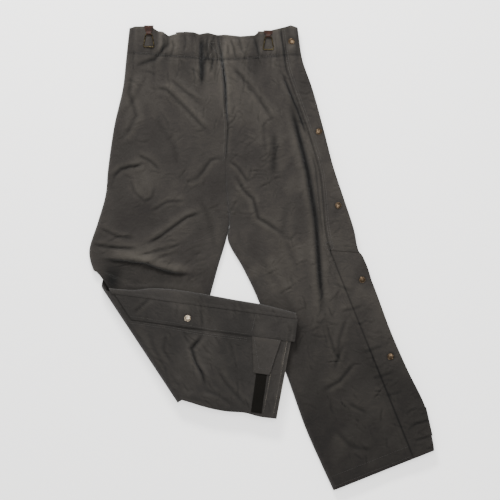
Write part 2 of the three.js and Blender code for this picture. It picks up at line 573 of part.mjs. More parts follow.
function strap(x, rear) {
  const top = Math.max(waistEdge(x - STRAP_W / 2), waistEdge(x + STRAP_W / 2)) + 1;
  const yc = top - STRAP_DROP;
  const path = [[top - 34, TAIL_Z], [top, TAIL_Z], [top, EYE_Z - EYE_R],
    [yc + 3, EYE_Z - EYE_R]];
  for (let k = 0; k <= 10; k += 1) {
    const a = -Math.PI / 2 - (k * 29 * Math.PI) / 180;
    path.push([yc + EYE_R * Math.cos(a), EYE_Z + EYE_R * Math.sin(a)]);
  }
  const line = rear ? path.map(([y, z]) => [y, swap(z)]) : path;
  const rows = [-0.5, 0.5].map((t) => ({ o: [x + t * STRAP_W, 0], d: [0, 1], path: line }));
  const outline = [[-STRAP_W / 2, 5], [-STRAP_W / 2, -4], [-STRAP_NECK / 2, -STRAP_DROP + 3.5],
    [-STRAP_NECK / 2, -40], [STRAP_NECK / 2, -40], [STRAP_NECK / 2, -STRAP_DROP + 3.5],
    [STRAP_W / 2, -4], [STRAP_W / 2, 5]].map(([u, v]) => [x + u, top + v]);
  return trim(sheet(rows, STRAP_TH), ccw(outline));
}

// A triangle of wire. Its short top bar turns in the strap's eye.
function ring(x, rear) {
  const top = Math.max(waistEdge(x - STRAP_W / 2), waistEdge(x + STRAP_W / 2)) + 1;
  const yc = top - STRAP_DROP;
  const zc = rear ? swap(EYE_Z) : EYE_Z;
  const rest = rear ? WIRE_R + 0.1 : Z_TOP + 0.2 + WIRE_R;
  const a = STRAP_NECK / 2 + 1.9;
  const b = RING_W / 2 - WIRE_R;
  const h = RING_H;
  const loop = [[-a + 1.2, 0], [a - 1.2, 0], [a - 0.2, -0.5], [a + 0.1, -1.6], [b, -h + 3],
    [b - 0.3, -h + 1], [b - 1.8, -h], [-b + 1.8, -h], [-b + 0.3, -h + 1], [-b, -h + 3],
    [-a - 0.1, -1.6], [-a + 0.2, -0.5]];
  const slope = (rest - zc) / h;
  const points = [];
  const n = loop.length;
  loop.forEach((q, k) => {
    const u = unit(sub(q, loop[(k - 1 + n) % n]));
    const v = unit(sub(loop[(k + 1) % n], q));
    const m = [u[0] + v[0], u[1] + v[1]];
    const c = size(m) / 2;
    const side = unit([-m[1], m[0]]);
    for (let i = 0; i < 8; i += 1) {
      const t = (Math.PI * (i + 0.5)) / 4;
      const s = (WIRE_R * Math.cos(t)) / Math.max(c, 0.7);
      const y = q[1] + side[1] * s;
      points.push([x + q[0] + side[0] * s, yc + y, zc - y * slope + WIRE_R * Math.sin(t)]);
    }
  });
  const faces = [];
  for (let k = 0; k < n; k += 1) {
    for (let i = 0; i < 8; i += 1) {
      const [A, B] = [k * 8, ((k + 1) % n) * 8];
      const m = (i + 1) % 8;
      faces.push([A + i, A + m, B + m], [A + i, B + m, B + i]);
    }
  }
  return closedGeometry(points, faces);
}
for (const place of ['front', 'rear']) {
  STRAP_X[place].forEach((x, i) => {
    const side = ['right', 'left'][i];
    hide(`${place}_${side}_strap`, strap(x, place === 'rear'));
    bronze(`${place}_${side}_ring`, ring(x, place === 'rear'));
  });
}

// ---- snaps in place --------------------------------------------------------------------
LEFT_SNAPS.forEach((at, i) => {
  const z = Z_OVER + CLOTH;
  const name = `left_snap_${i + 1}`;
  if (i < 3) {
    nickel(`${name}_cap`, turned(capWithSocket, at, z));
    nickel(`${name}_stud`, turned(studWithPost, at, z));
    return;
  }
  nickel(`${name}_cap`, turned(capProfile(CLOTH + 0.6), at, z));
  nickel(`${name}_socket`, turned(socketProfile, at, z));
  nickel(`${name}_stud`, turned(studProfile, at, z));
  nickel(`${name}_post`, turned(postProfile, at, z));
});
rightSnaps.forEach((at, i) => nickel(`right_snap_${i + 1}`, turned(closedSnap, at, Z_FLAP, -1)));
nickel('right_snap_5_cap', turned(capProfile(CLOTH + 0.6), lowerSnap, Z_FLAP, -1), fold);
nickel('right_snap_5_socket', turned(socketProfile, lowerSnap, Z_FLAP, -1), fold);
nickel('right_snap_5_stud', turned(studProfile, lowerSnap, Z_FLAP, -1), fold);
nickel('right_snap_5_post', turned(postProfile, lowerSnap, Z_FLAP, -1), fold);

// ---- origin: middle of the outline, on the floor ---------------------------------------
const box = new THREE.Box3().setFromObject(group);
const origin = [(box.min.x + box.max.x) / 2, (box.min.y + box.max.y) / 2, box.min.z];
group.children.forEach((m) => m.geometry.translate(-origin[0], -origin[1], -origin[2]));

export default group;
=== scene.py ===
# %% [markdown]
# # Bunker pants, lying front up with one lower leg folded over
# The trousers are limp canvas, so nearly every piece is a sheet of cloth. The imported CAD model
# gives the frame: where each panel, flap, tab, snap, strap and ring lies, and how it moves. This
# script puts real cloth and hardware in those places. First it loads the frame and keeps its size.

# %% Load the frame
import json
import math

import bpy
import numpy as np
from mathutils import Matrix, Vector
from mathutils.bvhtree import BVHTree

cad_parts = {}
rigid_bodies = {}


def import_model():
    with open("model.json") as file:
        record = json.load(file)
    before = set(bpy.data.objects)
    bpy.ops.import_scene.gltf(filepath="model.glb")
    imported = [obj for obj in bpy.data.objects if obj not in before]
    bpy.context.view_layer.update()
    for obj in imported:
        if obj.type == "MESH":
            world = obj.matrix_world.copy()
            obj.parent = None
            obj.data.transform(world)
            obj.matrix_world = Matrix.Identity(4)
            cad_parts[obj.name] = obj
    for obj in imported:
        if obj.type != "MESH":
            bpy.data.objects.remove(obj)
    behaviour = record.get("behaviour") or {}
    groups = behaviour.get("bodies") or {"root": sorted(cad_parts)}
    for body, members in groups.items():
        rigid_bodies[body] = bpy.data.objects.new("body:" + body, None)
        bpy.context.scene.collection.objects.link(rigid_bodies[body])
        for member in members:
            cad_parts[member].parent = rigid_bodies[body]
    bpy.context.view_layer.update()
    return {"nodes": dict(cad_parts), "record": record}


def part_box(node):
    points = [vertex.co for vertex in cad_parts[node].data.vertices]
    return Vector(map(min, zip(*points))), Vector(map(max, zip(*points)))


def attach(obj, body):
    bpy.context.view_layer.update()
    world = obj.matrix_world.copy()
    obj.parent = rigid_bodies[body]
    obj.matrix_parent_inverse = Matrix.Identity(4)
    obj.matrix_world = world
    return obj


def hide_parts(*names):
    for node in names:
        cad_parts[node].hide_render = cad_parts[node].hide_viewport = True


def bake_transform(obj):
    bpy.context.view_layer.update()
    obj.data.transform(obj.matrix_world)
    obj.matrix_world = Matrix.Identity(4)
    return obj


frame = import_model()
for thing in bpy.context.selected_objects:
    thing.select_set(False)

# %% [markdown]
# The camera hangs straight above the floor with a long lens, so the outline is almost free of
# perspective. The light is a wide, soft ceiling with a slightly stronger lamp beyond the waist,
# which gives each crease a lit side and a shaded side.

# %% Camera and light
MM = 0.001
CAMERA_HEIGHT = 6.0
VIEW_WIDTH = 1.175
VIEW_CENTRE = (-0.0275, 0.0202)
ROOM_LIGHT = 0.85


def look_down():
    lens = bpy.data.cameras.new("overhead")
    lens.sensor_width = 36
    lens.lens = 36 * CAMERA_HEIGHT / VIEW_WIDTH
    lens.clip_end = 50
    camera = bpy.data.objects.new("overhead", lens)
    camera.location = (*VIEW_CENTRE, CAMERA_HEIGHT)
    bpy.context.scene.collection.objects.link(camera)
    bpy.context.scene.camera = camera


def hang_lamp(name, place, turn, size, watts):
    lamp = bpy.data.lights.new(name, "AREA")
    lamp.shape = "RECTANGLE"
    lamp.size, lamp.size_y = size
    lamp.energy = watts
    holder = bpy.data.objects.new(name, lamp)
    holder.location = place
    holder.rotation_euler = [math.radians(a) for a in turn]
    bpy.context.scene.collection.objects.link(holder)


look_down()
hang_lamp("ceiling", place=(0.2, 0.3, 3.0), turn=(0, 0, 0), size=(1.6, 1.6), watts=52)
hang_lamp("beyond_the_waist", place=(-0.5, 2.2, 1.5), turn=(-56, 0, 13), size=(1.0, 0.5), watts=110)
world = bpy.data.worlds.new("room")
world.use_nodes = True
world.node_tree.nodes["Background"].inputs["Color"].default_value = (1, 1, 1, 1)
world.node_tree.nodes["Background"].inputs["Strength"].default_value = ROOM_LIGHT
bpy.context.scene.world = world
print("camera lens:", round(bpy.context.scene.camera.data.lens, 1), "mm")

# %% [markdown]
# ## Materials
# Each material is a small node graph. One function turns a hex colour into Blender's linear
# numbers, and one adds a node with its settings, links and colour stops. Pattern scales come from real
# sizes: a scale of 1 / spacing in metres puts one thread in each cell.

# %% Colour and node helpers
def linear(code, alpha=1.0):
    parts = [int(code[i:i + 2], 16) / 255 for i in (1, 3, 5)]
    return [p / 12.92 if p <= 0.04045 else ((p + 0.055) / 1.055) ** 2.4 for p in parts] + [alpha]


def add_node(tree, kind, settings=None, links=None, stops=(), **values):
    node = tree.nodes.new(kind)
    for key, value in (settings or {}).items():
        setattr(node, key, value)
    for key, value in values.items():
        node.inputs[int(key[1:]) if key[0] == "n" and key[1:].isdigit() else key].default_value = value
    for key, source in (links or {}).items():
        tree.links.new(source, node.inputs[key])
    while stops and len(node.color_ramp.elements) < len(stops):
        node.color_ramp.elements.new(0.5)
    for k, (place, colour) in enumerate(stops):
        node.color_ramp.elements[k].position = place
        node.color_ramp.elements[k].color = linear(colour) if isinstance(colour, str) else [colour] * 3 + [1]
    return node


def new_material(name, colour, roughness, metallic=0.0):
    material = bpy.data.materials.new(name)
    material.use_nodes = True
    shader = material.node_tree.nodes["Principled BSDF"]
    shader.inputs["Base Color"].default_value = linear(colour)
    shader.inputs["Roughness"].default_value = roughness
    shader.inputs["Metallic"].default_value = metallic
    return material, material.node_tree, shader


print("helpers ready")

# %% [markdown]
# Cotton duck canvas, plain woven, dyed and then faded by wear and washing. The weave is over
# and under in both directions, so the bump is two crossed sets of threads taken from the
# piece's own UV map in metres. Real threads are 0.6 mm apart; they are drawn 1.5 mm apart so
# that they show. They wander a little, under fine specks. The cloth has faded in patches. It is
# painted paler where a crease or bump stands up, partly as real wear and partly as painted
# highlight, and painted darker down in the folds and hollows as painted shade.
# A crumple of the whole cloth, about 22 mm across, adds the small dents of limp canvas.

# %% Canvas
THREAD = 0.0015
WAVE_UNIT = 0.314             # metres between the bands of a wave texture whose scale is 1


def canvas(name, base, faded, painted_shade, wear_and_highlight_colour, wear_and_highlight=0.5, patchy=0.5):
    material, tree, shader = new_material(name, base, 0.92)
    uv = add_node(tree, "ShaderNodeUVMap", {"uv_map": "cloth"}).outputs["UV"]
    place = add_node(tree, "ShaderNodeTexCoord").outputs["Object"]
    cloud = add_node(tree, "ShaderNodeTexNoise", links={"Vector": place},
                     Scale=9.0, Detail=5.0, Roughness=0.62)
    speck = add_node(tree, "ShaderNodeTexNoise", links={"Vector": uv},
                     Scale=260.0, Detail=3.0, Roughness=0.7)
    crease = add_node(tree, "ShaderNodeAttribute", {"attribute_name": "crease"}).outputs["Fac"]
    ridge = add_node(tree, "ShaderNodeAttribute", {"attribute_name": "ridge"}).outputs["Fac"]
    fade = add_node(tree, "ShaderNodeValToRGB", links={"Fac": cloud.outputs["Fac"]},
                    stops=[(0.36, 0.0), (0.66, patchy)]).outputs["Color"]
    colour = add_node(tree, "ShaderNodeMix", {"data_type": "RGBA"}, {"Factor": fade},
                      n6=linear(base), n7=linear(faded)).outputs[2]
    grain = add_node(tree, "ShaderNodeValToRGB", links={"Fac": speck.outputs["Fac"]},
                     stops=[(0.3, 0.82), (0.7, 1.14)]).outputs["Color"]
    colour = add_node(tree, "ShaderNodeMix", {"data_type": "RGBA", "blend_type": "MULTIPLY"},
                      {6: colour, 7: grain}, n0=0.8).outputs[2]
    # Paler on raised cloth: partly real wear, partly painted highlight.
    paler_tone = add_node(tree, "ShaderNodeMath", {"operation": "MULTIPLY"}, {0: ridge}, n1=wear_and_highlight)
    colour = add_node(tree, "ShaderNodeMix", {"data_type": "RGBA"},
                      {"Factor": paler_tone.outputs[0], 6: colour}, n7=linear(wear_and_highlight_colour)).outputs[2]
    # Darker in creases, hollows and round raised parts: painted shade.
    sunk = add_node(tree, "ShaderNodeMath", {"operation": "MULTIPLY", "use_clamp": True},
                    {0: crease}, n1=0.95)
    colour = add_node(tree, "ShaderNodeMix", {"data_type": "RGBA"},
                      {"Factor": sunk.outputs[0], 6: colour}, n7=linear(painted_shade)).outputs[2]
    tree.links.new(colour, shader.inputs["Base Color"])
    threads = []
    for axis, turn in (("warp", 0.0), ("weft", math.pi / 2)):
        spun = add_node(tree, "ShaderNodeMapping", {"label": axis}, {"Vector": uv},
                        Rotation=(0, 0, turn))
        wave = add_node(tree, "ShaderNodeTexWave", {"bands_direction": "X"},
                        {"Vector": spun.outputs[0]}, Scale=WAVE_UNIT / THREAD,
                        Distortion=1.2, **{"Detail Scale": 2.0})
        threads.append(wave.outputs["Fac"])
    weave = add_node(tree, "ShaderNodeMath", {"operation": "MAXIMUM"},
                     {0: threads[0], 1: threads[1]}).outputs[0]
    rough = add_node(tree, "ShaderNodeBump", links={"Height": speck.outputs["Fac"]},
                     Strength=0.35, Distance=0.0006)
    crumple = add_node(tree, "ShaderNodeTexNoise", links={"Vector": uv}, Scale=1 / 0.022,
                       Detail=4.0, Roughness=0.55, Distortion=1.4)
    rough = add_node(tree, "ShaderNodeBump", links={"Height": crumple.outputs["Fac"],
                     "Normal": rough.outputs[0]}, Strength=0.8, Distance=0.0035)
    bump = add_node(tree, "ShaderNodeBump", links={"Height": weave, "Normal": rough.outputs[0]},
                    Strength=0.5, Distance=0.0004)
    tree.links.new(bump.outputs[0], shader.inputs["Normal"])
    shader.inputs["Sheen Weight"].default_value = 0.12
    shader.inputs["Sheen Roughness"].default_value = 0.5
    shader.inputs["Specular IOR Level"].default_value = 0.15
    return material


# The fourth colour is painted shade for creases and hollows; the fifth is the paler tone of raised cloth,
# partly wear and partly painted highlight. The lower canvas is the same duck made a little darker: painted
# shade for the lower part of the trousers, where the light is weaker.
UPPER_CANVAS = canvas("canvas_faded_duck", "#252220", "#35322E", "#0A0908", "#47433D")
LOWER_CANVAS = canvas("canvas_duck_painted_shade", "#22201E", "#2F2C2A", "#0A0908", "#45413C")
TAPE_CANVAS = canvas("canvas_inner_facing", "#1E1C1A", "#2A2724", "#0A0908", "#3C3832")
print("canvas made:", UPPER_CANVAS.name, LOWER_CANVAS.name, TAPE_CANVAS.name)

# %% [markdown]
# ## The cloth
# Every panel is laid out as a tailor would: rows run across the leg from its outer edge to its
# inner edge. A row knows its start, its direction and its width, and a section says at what
# height the cloth lies at each distance along the row. The edge lines below are the same as the
# CAD panels' edges, in millimetres, and a smooth curve is run through them.

# %% Edge lines and heights
FRAME_SHIFT = np.array([-0.5016, 2.5591])


def drawn(points):
    return np.array(points, float) + FRAME_SHIFT


LEFT_OUTER = drawn([(85, 536), (96, 464), (120, 394), (146, 300), (168, 215), (192, 142),
                    (216, 69), (227, 18), (253, -41), (269, -81), (303, -173), (342, -262),
                    (383, -347), (400, -422), (405, -452)])
LEFT_INNER = drawn([(-93, 524), (-91, 464), (-83, 389), (-78, 300), (-82, 224), (-78, 154),
                    (-73, 88), (-78, 39), (-43, -25), (-9, -96), (27, -192), (62, -283),
                    (102, -396), (140, -483), (169, -546)])
THIGH_OUTER = drawn([(-310, 541), (-318, 464), (-326, 394), (-346, 307), (-360, 210),
                     (-366, 147), (-384, 83), (-404, 18), (-396, -25)])
THIGH_INNER = drawn([(-95, 524), (-93, 464), (-85, 389), (-80, 300), (-84, 224), (-80, 154),
                     (-75, 88), (-84, 39), (-105, -32)])
FOLD_OUTER = drawn([(-300, -76), (-260, -72), (-213, -74), (-149, -83), (-66, -98),
                    (8, -111), (81, -130)])
FOLD_INNER = drawn([(-163, -340), (-137, -348), (-109, -355), (-79, -360), (-39, -363),
                    (-4, -372), (35, -377)])
LEFT_ROOT = drawn([(43, 545), (52, 476), (60, 436), (88, 356), (114, 281), (135, 206),
                   (142, 152), (149, 72), (159, 25), (170, -7), (361, -481)])
THIGH_ROOT = drawn([(-290, 545), (-300, 464), (-307, 394), (-327, 307), (-341, 210),
                    (-347, 147), (-364, 83), (-379, 18), (-366, -36)])
CREASE_A, CREASE_B = drawn([(-377, -43), (-186, -333)])
HINGE_A, HINGE_B = drawn([(-322, -88), (80, -143)])
CREASE_DIR = (CREASE_B - CREASE_A) / np.linalg.norm(CREASE_B - CREASE_A)
CREASE_OUT = np.array([CREASE_DIR[1], -CREASE_DIR[0]])

CLOTH = 1.2
Z_FLOOR_FLAP = 2.2            # middle heights of the layers, in millimetres
Z_WRAP = 3.7
Z_BACK = 5.9
Z_UNDERLAP = 15.3
Z_FRONT = 17.5
Z_OVER = 19.0
Z_AXIS = 18.25
CROTCH = 4.0                  # the row where the legs part
INSEAM_DROP = 10.1            # from the front's height down to the inseam
SEAM_LIP = 1.6                # how far the edge dips into the centre seam
print("leg length along the outer edge:",
      round(float(np.linalg.norm(np.diff(LEFT_OUTER, axis=0), axis=1).sum())), "mm")

# %% [markdown]
# A row-by-row grid needs a few small tools, such as a smooth curve through the edge points, the
# place where a row crosses a seam line, and half an oval for cloth that turns round an edge.

# %% Curves, crossings and turned edges
def curve_through(points, at):
    """Points of a smooth curve at the places in 'at', where 1.5 is halfway from 1 to 2."""
    points = np.vstack([2 * points[0] - points[1], points, 2 * points[-1] - points[-2]])
    k = np.clip(np.floor(at).astype(int), 0, len(points) - 4)
    t = (at - k)[:, None]
    a, b, c, d = (points[k + i] for i in range(4))
    return 0.5 * (2 * b + (c - a) * t + (2 * a - 5 * b + 4 * c - d) * t ** 2
                  + (3 * b - a - 3 * c + d) * t ** 3)


def run_along(points):
    """How far along a line each of its points lies."""
    return np.concatenate([[0], np.cumsum(np.linalg.norm(np.diff(points, axis=0), axis=1))])


def even_places(outer, inner, spacing, first=0.0, last=None):
    """Places along the leg, about 'spacing' millimetres apart on its middle line."""
    last = len(outer) - 1 if last is None else last
    fine = np.linspace(first, last, 800)
    middle = (curve_through(outer, fine) + curve_through(inner, fine)) / 2
    run = run_along(middle)
    return np.interp(np.linspace(0, run[-1], int(run[-1] / spacing) + 1), run, fine)


def crossing(start, way, line):
    """Distance from a row's start to a seam line, which runs on straight past its ends."""
    edge = np.diff(line, axis=0)
    off = line[:-1] - start
    across = way[0] * edge[:, 1] - way[1] * edge[:, 0]
    p = (off[:, 0] * edge[:, 1] - off[:, 1] * edge[:, 0]) / across
    t = (off[:, 0] * way[1] - off[:, 1] * way[0]) / across
    miss = np.maximum(0, np.maximum(-t, t - 1))
    return float(p[np.argmin(miss)])


def smooth_line(points):
    return curve_through(points, np.linspace(0, len(points) - 1, (len(points) - 1) * 12 + 1))


def turned_edge(low, high, low_top, high_top, reach=13.0, steps=10):
    """Half an oval round an outer edge, from the height low up to the height high."""
    half = (high - low) / 2
    out = []
    for k in range(steps + 1):
        a = -math.pi / 2 + math.pi * k / steps
        out.append((reach - (reach - 0.6) * max(0.0, math.cos(a)) ** 0.8,
                    low + half + half * math.sin(a),
                    low_top + (high_top - low_top) * k / steps))
    return out


LEFT_ROOT_LINE = smooth_line(LEFT_ROOT)
THIGH_ROOT_LINE = smooth_line(THIGH_ROOT)
print("seam lines smoothed to", len(LEFT_ROOT_LINE), "and", len(THIGH_ROOT_LINE), "points")

# %% [markdown]
# ## Creases
# Cloth that has been worn and then laid down keeps its creases: a sharp dip with a soft ridge
# on one or both sides, fading out at its ends. Each crease here is a line on the floor plan with
# a width, the height of the ridge to its left and right, the depth of its dip, and how far the
# ridge leans over the dip. All sheets that lie on one another read the same creases, so the
# layers stay together.

# %% The creases of the front
FRONT_CREASES = [
    # line, width, ridge left, ridge right, dip, lean
    ([(-218, 545), (-219, 505), (-251, 467), (-298, 450)], 9, 1.4, 2.2, 3.0, 0.0),
    ([(-259, 401), (-223, 396), (-192, 366), (-153, 326), (-118, 286)], 9, 2.6, 1.0, 2.6, 1.2),
    ([(-223, 427), (-176, 389), (-138, 357)], 8, 1.8, 0.8, 2.0, 0.8),
    ([(-302, 448), (-310, 389), (-294, 333), (-314, 295), (-338, 272)], 10, 2.0, 1.2, 2.2, 0.6),
    ([(-94, 488), (-91, 453), (-85, 424), (-82, 373), (-82, 342), (-77, 300)],
     6, 2.4, 1.6, 5.2, 1.0),
    ([(-78, 320), (-82, 262), (-84, 226)], 6, 1.0, 1.0, 2.4, 0.0),
    ([(-138, 524), (-140, 467), (-136, 408)], 15, 1.8, 1.6, 4.0, 0.0),
    ([(-116, 520), (-119, 470), (-112, 420)], 9, 0.8, 0.8, 1.4, 0.0),
    ([(-82, 463), (-35, 413), (3, 361), (35, 310)], 10, 2.2, 1.2, 2.2, 0.8),
    ([(29, 300), (30, 255), (27, 190)], 15, 1.6, 1.4, 3.2, 0.0),
    ([(8, 330), (4, 290), (12, 236)], 8, 0.8, 1.0, 1.2, 0.0),
    ([(-352, 188), (-330, 209), (-310, 215), (-276, 220)], 9, 2.6, 1.2, 3.4, 1.4),
    ([(-296, 246), (-259, 227), (-236, 205)], 7, 1.8, 0.8, 2.4, 0.8),
    ([(-310, 192), (-298, 156), (-274, 133), (-258, 142), (-249, 176)], 7, 1.6, 0.6, 2.0, 0.6),
    ([(-262, 106), (-223, 133), (-172, 135)], 7, 1.6, 0.6, 2.0, 0.6),
    ([(-278, 29), (-239, 51), (-208, 74), (-176, 97), (-134, 110)], 9, 2.8, 1.0, 3.6, 1.6),
    ([(-86, 231), (-108, 234), (-122, 227), (-138, 203), (-152, 187), (-188, 176)],
     8, 1.8, 0.8, 2.6, 0.8),
    ([(-384, 74), (-338, 51), (-296, 47)], 7, 2.0, 0.8, 2.4, 0.8),
    ([(-400, 33), (-349, 27), (-290, 22)], 8, 2.6, 1.2, 3.0, 1.0),
    ([(-294, 7), (-255, 15), (-208, 27), (-182, 38)], 7, 1.6, 0.8, 2.2, 0.6),
    ([(-262, -8), (-226, 8), (-196, 14)], 6, 1.2, 0.6, 1.4, 0.4),
    ([(-79, 231), (-56, 213), (-30, 176)], 7, 1.4, 2.0, 2.6, 0.8),
    ([(-68, 204), (-44, 161), (-20, 138), (-9, 95), (24, 74), (61, 49)], 9, 1.2, 2.4, 3.2, 1.4),
    ([(57, 50), (66, 44), (85, 63)], 6, 1.0, 1.4, 2.0, 0.4),
    ([(44, 440), (55, 415), (83, 349), (108, 279)], 8, 1.8, 2.6, 5.0, 0.8),
    ([(60, 400), (76, 330), (93, 262), (107, 205), (117, 147), (127, 90), (132, 13), (137, -60),
      (143, -118), (150, -150)], 13, 2.4, 3.0, 7.0, 0.8),
    ([(112, 262), (126, 214), (132, 156), (139, 86), (146, 30)], 6, 1.0, 1.0, 2.6, 0.0),
    ([(-231, 531), (-229, 505), (-236, 478)], 7, 2.4, 1.0, 3.4, 0.6),
    ([(-211, 522), (-206, 500), (-214, 470)], 6, 1.6, 1.0, 2.6, 0.4),
    ([(-145, 524), (-142, 480), (-140, 396)], 8, 2.2, 1.6, 3.6, 0.4),
    ([(-126, 524), (-128, 490), (-122, 452)], 5, 1.6, 1.4, 2.6, 0.2),
    ([(-104, 520), (-96, 480), (-90, 452), (-87, 400), (-86, 326)], 7, 2.4, 2.0, 3.8, 0.4),
    ([(-74, 520), (-66, 496), (-60, 466)], 6, 1.8, 1.2, 2.8, 0.2),
    ([(-52, 522), (-50, 500), (-42, 478)], 6, 1.4, 1.2, 2.2, 0.2),
    ([(-18, 524), (-12, 500), (-4, 470)], 6, 1.8, 1.4, 2.8, 0.2),
    ([(44, 538), (50, 505), (58, 460)], 9, 1.4, 1.4, 2.4, 0.2),
    ([(-180, 528), (-178, 505), (-184, 480)], 6, 1.4, 1.2, 2.2, 0.2),
    ([(148, -150), (162, -190), (176, -236)], 7, 1.0, 1.0, 2.0, 0.0),
    ([(192, -200), (170, -258)], 8, 1.4, 1.0, 2.0, 0.4),
    ([(221, -240), (182, -288), (141, -311)], 9, 1.8, 1.0, 2.4, 0.6),
    ([(201, -132), (182, -187), (174, -249)], 8, 1.2, 1.2, 1.6, 0.0),
    ([(200, -338), (247, -362)], 8, 1.0, 1.4, 1.8, 0.0),
    ([(170, -400), (210, -440), (262, -452)], 10, 1.2, 1.2, 1.4, 0.0),
    ([(168, -58), (214, -77)], 7, 1.4, 0.8, 1.8, 0.2),
    ([(182, -126), (238, -110)], 7, 1.4, 0.8, 1.8, 0.2),
    ([(216, -150), (250, -158)], 5, 0.8, 0.6, 1.0, 0.0),
    ([(234, -221), (285, -204)], 7, 1.4, 0.8, 1.8, 0.2),
    ([(257, -282), (311, -266)], 7, 1.4, 0.8, 1.8, 0.2),
    ([(286, -322), (330, -312)], 6, 1.0, 0.6, 1.2, 0.0),
    ([(351, -390), (395, -378)], 6, 1.2, 0.8, 1.8, 0.0),
    ([(356, -427), (399, -416)], 6, 1.0, 0.8, 1.6, 0.0),
    ([(-150, 150), (-120, 80), (-108, 10)], 12, 0.8, 0.8, 1.0, 0.0),
    ([(-20, 20), (40, -60), (92, -170)], 14, 0.8, 0.8, 0.9, 0.0),
    ([(60, 150), (50, 60), (88, -40)], 14, 0.9, 0.7, 1.0, 0.0),
    ([(-250, 330), (-206, 262), (-196, 208)], 12, 0.9, 0.7, 1.0, 0.0),
    ([(-330, 330), (-300, 372), (-262, 440)], 10, 0.9, 0.6, 1.1, 0.0),
]
FOLD_CREASES = [
    ([(-144, -84), (-143, -110), (-139, -166)], 6, 1.2, 1.6, 2.6, 0.6),
    ([(-136, -168), (-141, -182), (-152, -196), (-165, -210), (-155, -243), (-139, -271),
      (-131, -306)], 9, 2.2, 2.8, 5.0, 1.6),
    ([(-165, -206), (-178, -186), (-186, -166)], 6, 0.8, 0.8, 1.6, 0.0),
    ([(-196, -104), (-201, -140)], 6, 0.9, 0.9, 1.6, 0.0),
    ([(-168, -104), (-164, -142)], 5, 0.7, 0.7, 1.0, 0.0),
    ([(-256, -88), (-284, -114), (-303, -130)], 7, 1.6, 1.2, 3.0, 0.8),
    ([(-224, -174), (-230, -215), (-209, -247)], 7, 1.0, 1.2, 1.6, 0.2),
    ([(-262, -168), (-252, -212), (-222, -262), (-180, -312)], 9, 1.0, 1.2, 1.4, 0.2),
    ([(-300, -160), (-262, -226), (-206, -300)], 9, 1.0, 0.8, 1.2, 0.0),
    ([(-75, -192), (-66, -233)], 7, 1.0, 0.9, 1.4, 0.0),
    ([(-112, -176), (-96, -206)], 6, 0.8, 0.8, 1.2, 0.0),
    ([(-105, -254), (-82, -294), (-29, -351)], 9, 1.8, 0.8, 1.6, 0.6),
    ([(-140, -302), (-100, -322), (-62, -346)], 9, 1.0, 1.2, 1.4, 0.0),
    ([(-196, -322), (-150, -330), (-96, -340)], 9, 0.9, 0.8, 1.1, 0.0),
    ([(-66, -100), (-62, -150)], 8, 0.7, 0.7, 0.9, 0.0),
    ([(-20, -112), (-12, -150)], 7, 0.6, 0.6, 0.9, 0.0),
]
KNEE_RIDGE = [(-392, 6), (-360, 1), (-328, 1), (-270, -6), (-244, -17), (-208, -27), (-168, -33),
              (-136, -30)]


def small_creases(seed, count, spots, way, spread, long=(14, 46)):
    """Short seeded creases scattered about some spots, running roughly one way (degrees)."""
    dice = np.random.RandomState(seed)
    out = []
    for _ in range(count):
        x, y, rx, ry = spots[dice.randint(len(spots))]
        x, y = x + rx * dice.uniform(-1, 1), y + ry * dice.uniform(-1, 1)
        a = math.radians(way + spread * dice.uniform(-1, 1))
        half = dice.uniform(*long) / 2
        bow = dice.uniform(-0.25, 0.25) * half
        line = [(x - half * math.cos(a), y - half * math.sin(a)),
                (x - bow * math.sin(a), y + bow * math.cos(a)),
                (x + half * math.cos(a), y + half * math.sin(a))]
        high = dice.uniform(0.25, 1.0)
        out.append((line, dice.uniform(2.6, 5.6), 1.1 * high, 0.7 * high, 1.7 * high, 0.25 * high))
    return out


FRONT_CREASES += small_creases(61, 70, [(-200, 400, 110, 90), (-20, 400, 80, 90)], -60, 45)
FRONT_CREASES += small_creases(62, 90, [(-230, 200, 120, 120), (-20, 220, 60, 120)], 25, 50)
FRONT_CREASES += small_creases(63, 60, [(60, 60, 60, 140), (120, -100, 60, 120)], 70, 50)
FRONT_CREASES += small_creases(64, 60, [(180, -260, 80, 120), (260, -400, 80, 90)], -40, 60)
FRONT_CREASES += small_creases(65, 46, [(110, 400, 22, 120), (190, 150, 26, 130)], 10, 30, (10, 30))
FRONT_CREASES += small_creases(66, 46, [(290, -200, 40, 120), (370, -380, 30, 70)], 15, 35, (10, 34))
FRONT_CREASES += small_creases(68, 44, [(-110, 480, 200, 30), (-115, 470, 50, 40)], 90, 16, (24, 70))
FRONT_CREASES += small_creases(67, 44, [(-300, 20, 90, 40), (-180, -10, 60, 40)], 8, 30, (16, 60))
FOLD_CREASES += small_creases(71, 60, [(-180, -230, 90, 80), (-60, -270, 90, 80)], -60, 60)
FOLD_CREASES += small_creases(72, 34, [(-150, -125, 150, 25), (0, -140, 70, 25)], 80, 40, (8, 26))
print(len(FRONT_CREASES), "creases on the front,", len(FOLD_CREASES), "on the folded leg")

# %% [markdown]
# From those lines comes one displacement for any point of the plan. Two more kinds of relief
# are added: the waist gathers, which are narrow upright folds that the elastic pulls together,
# and a slow unevenness with a seeded noise, which is what limp canvas does by itself.

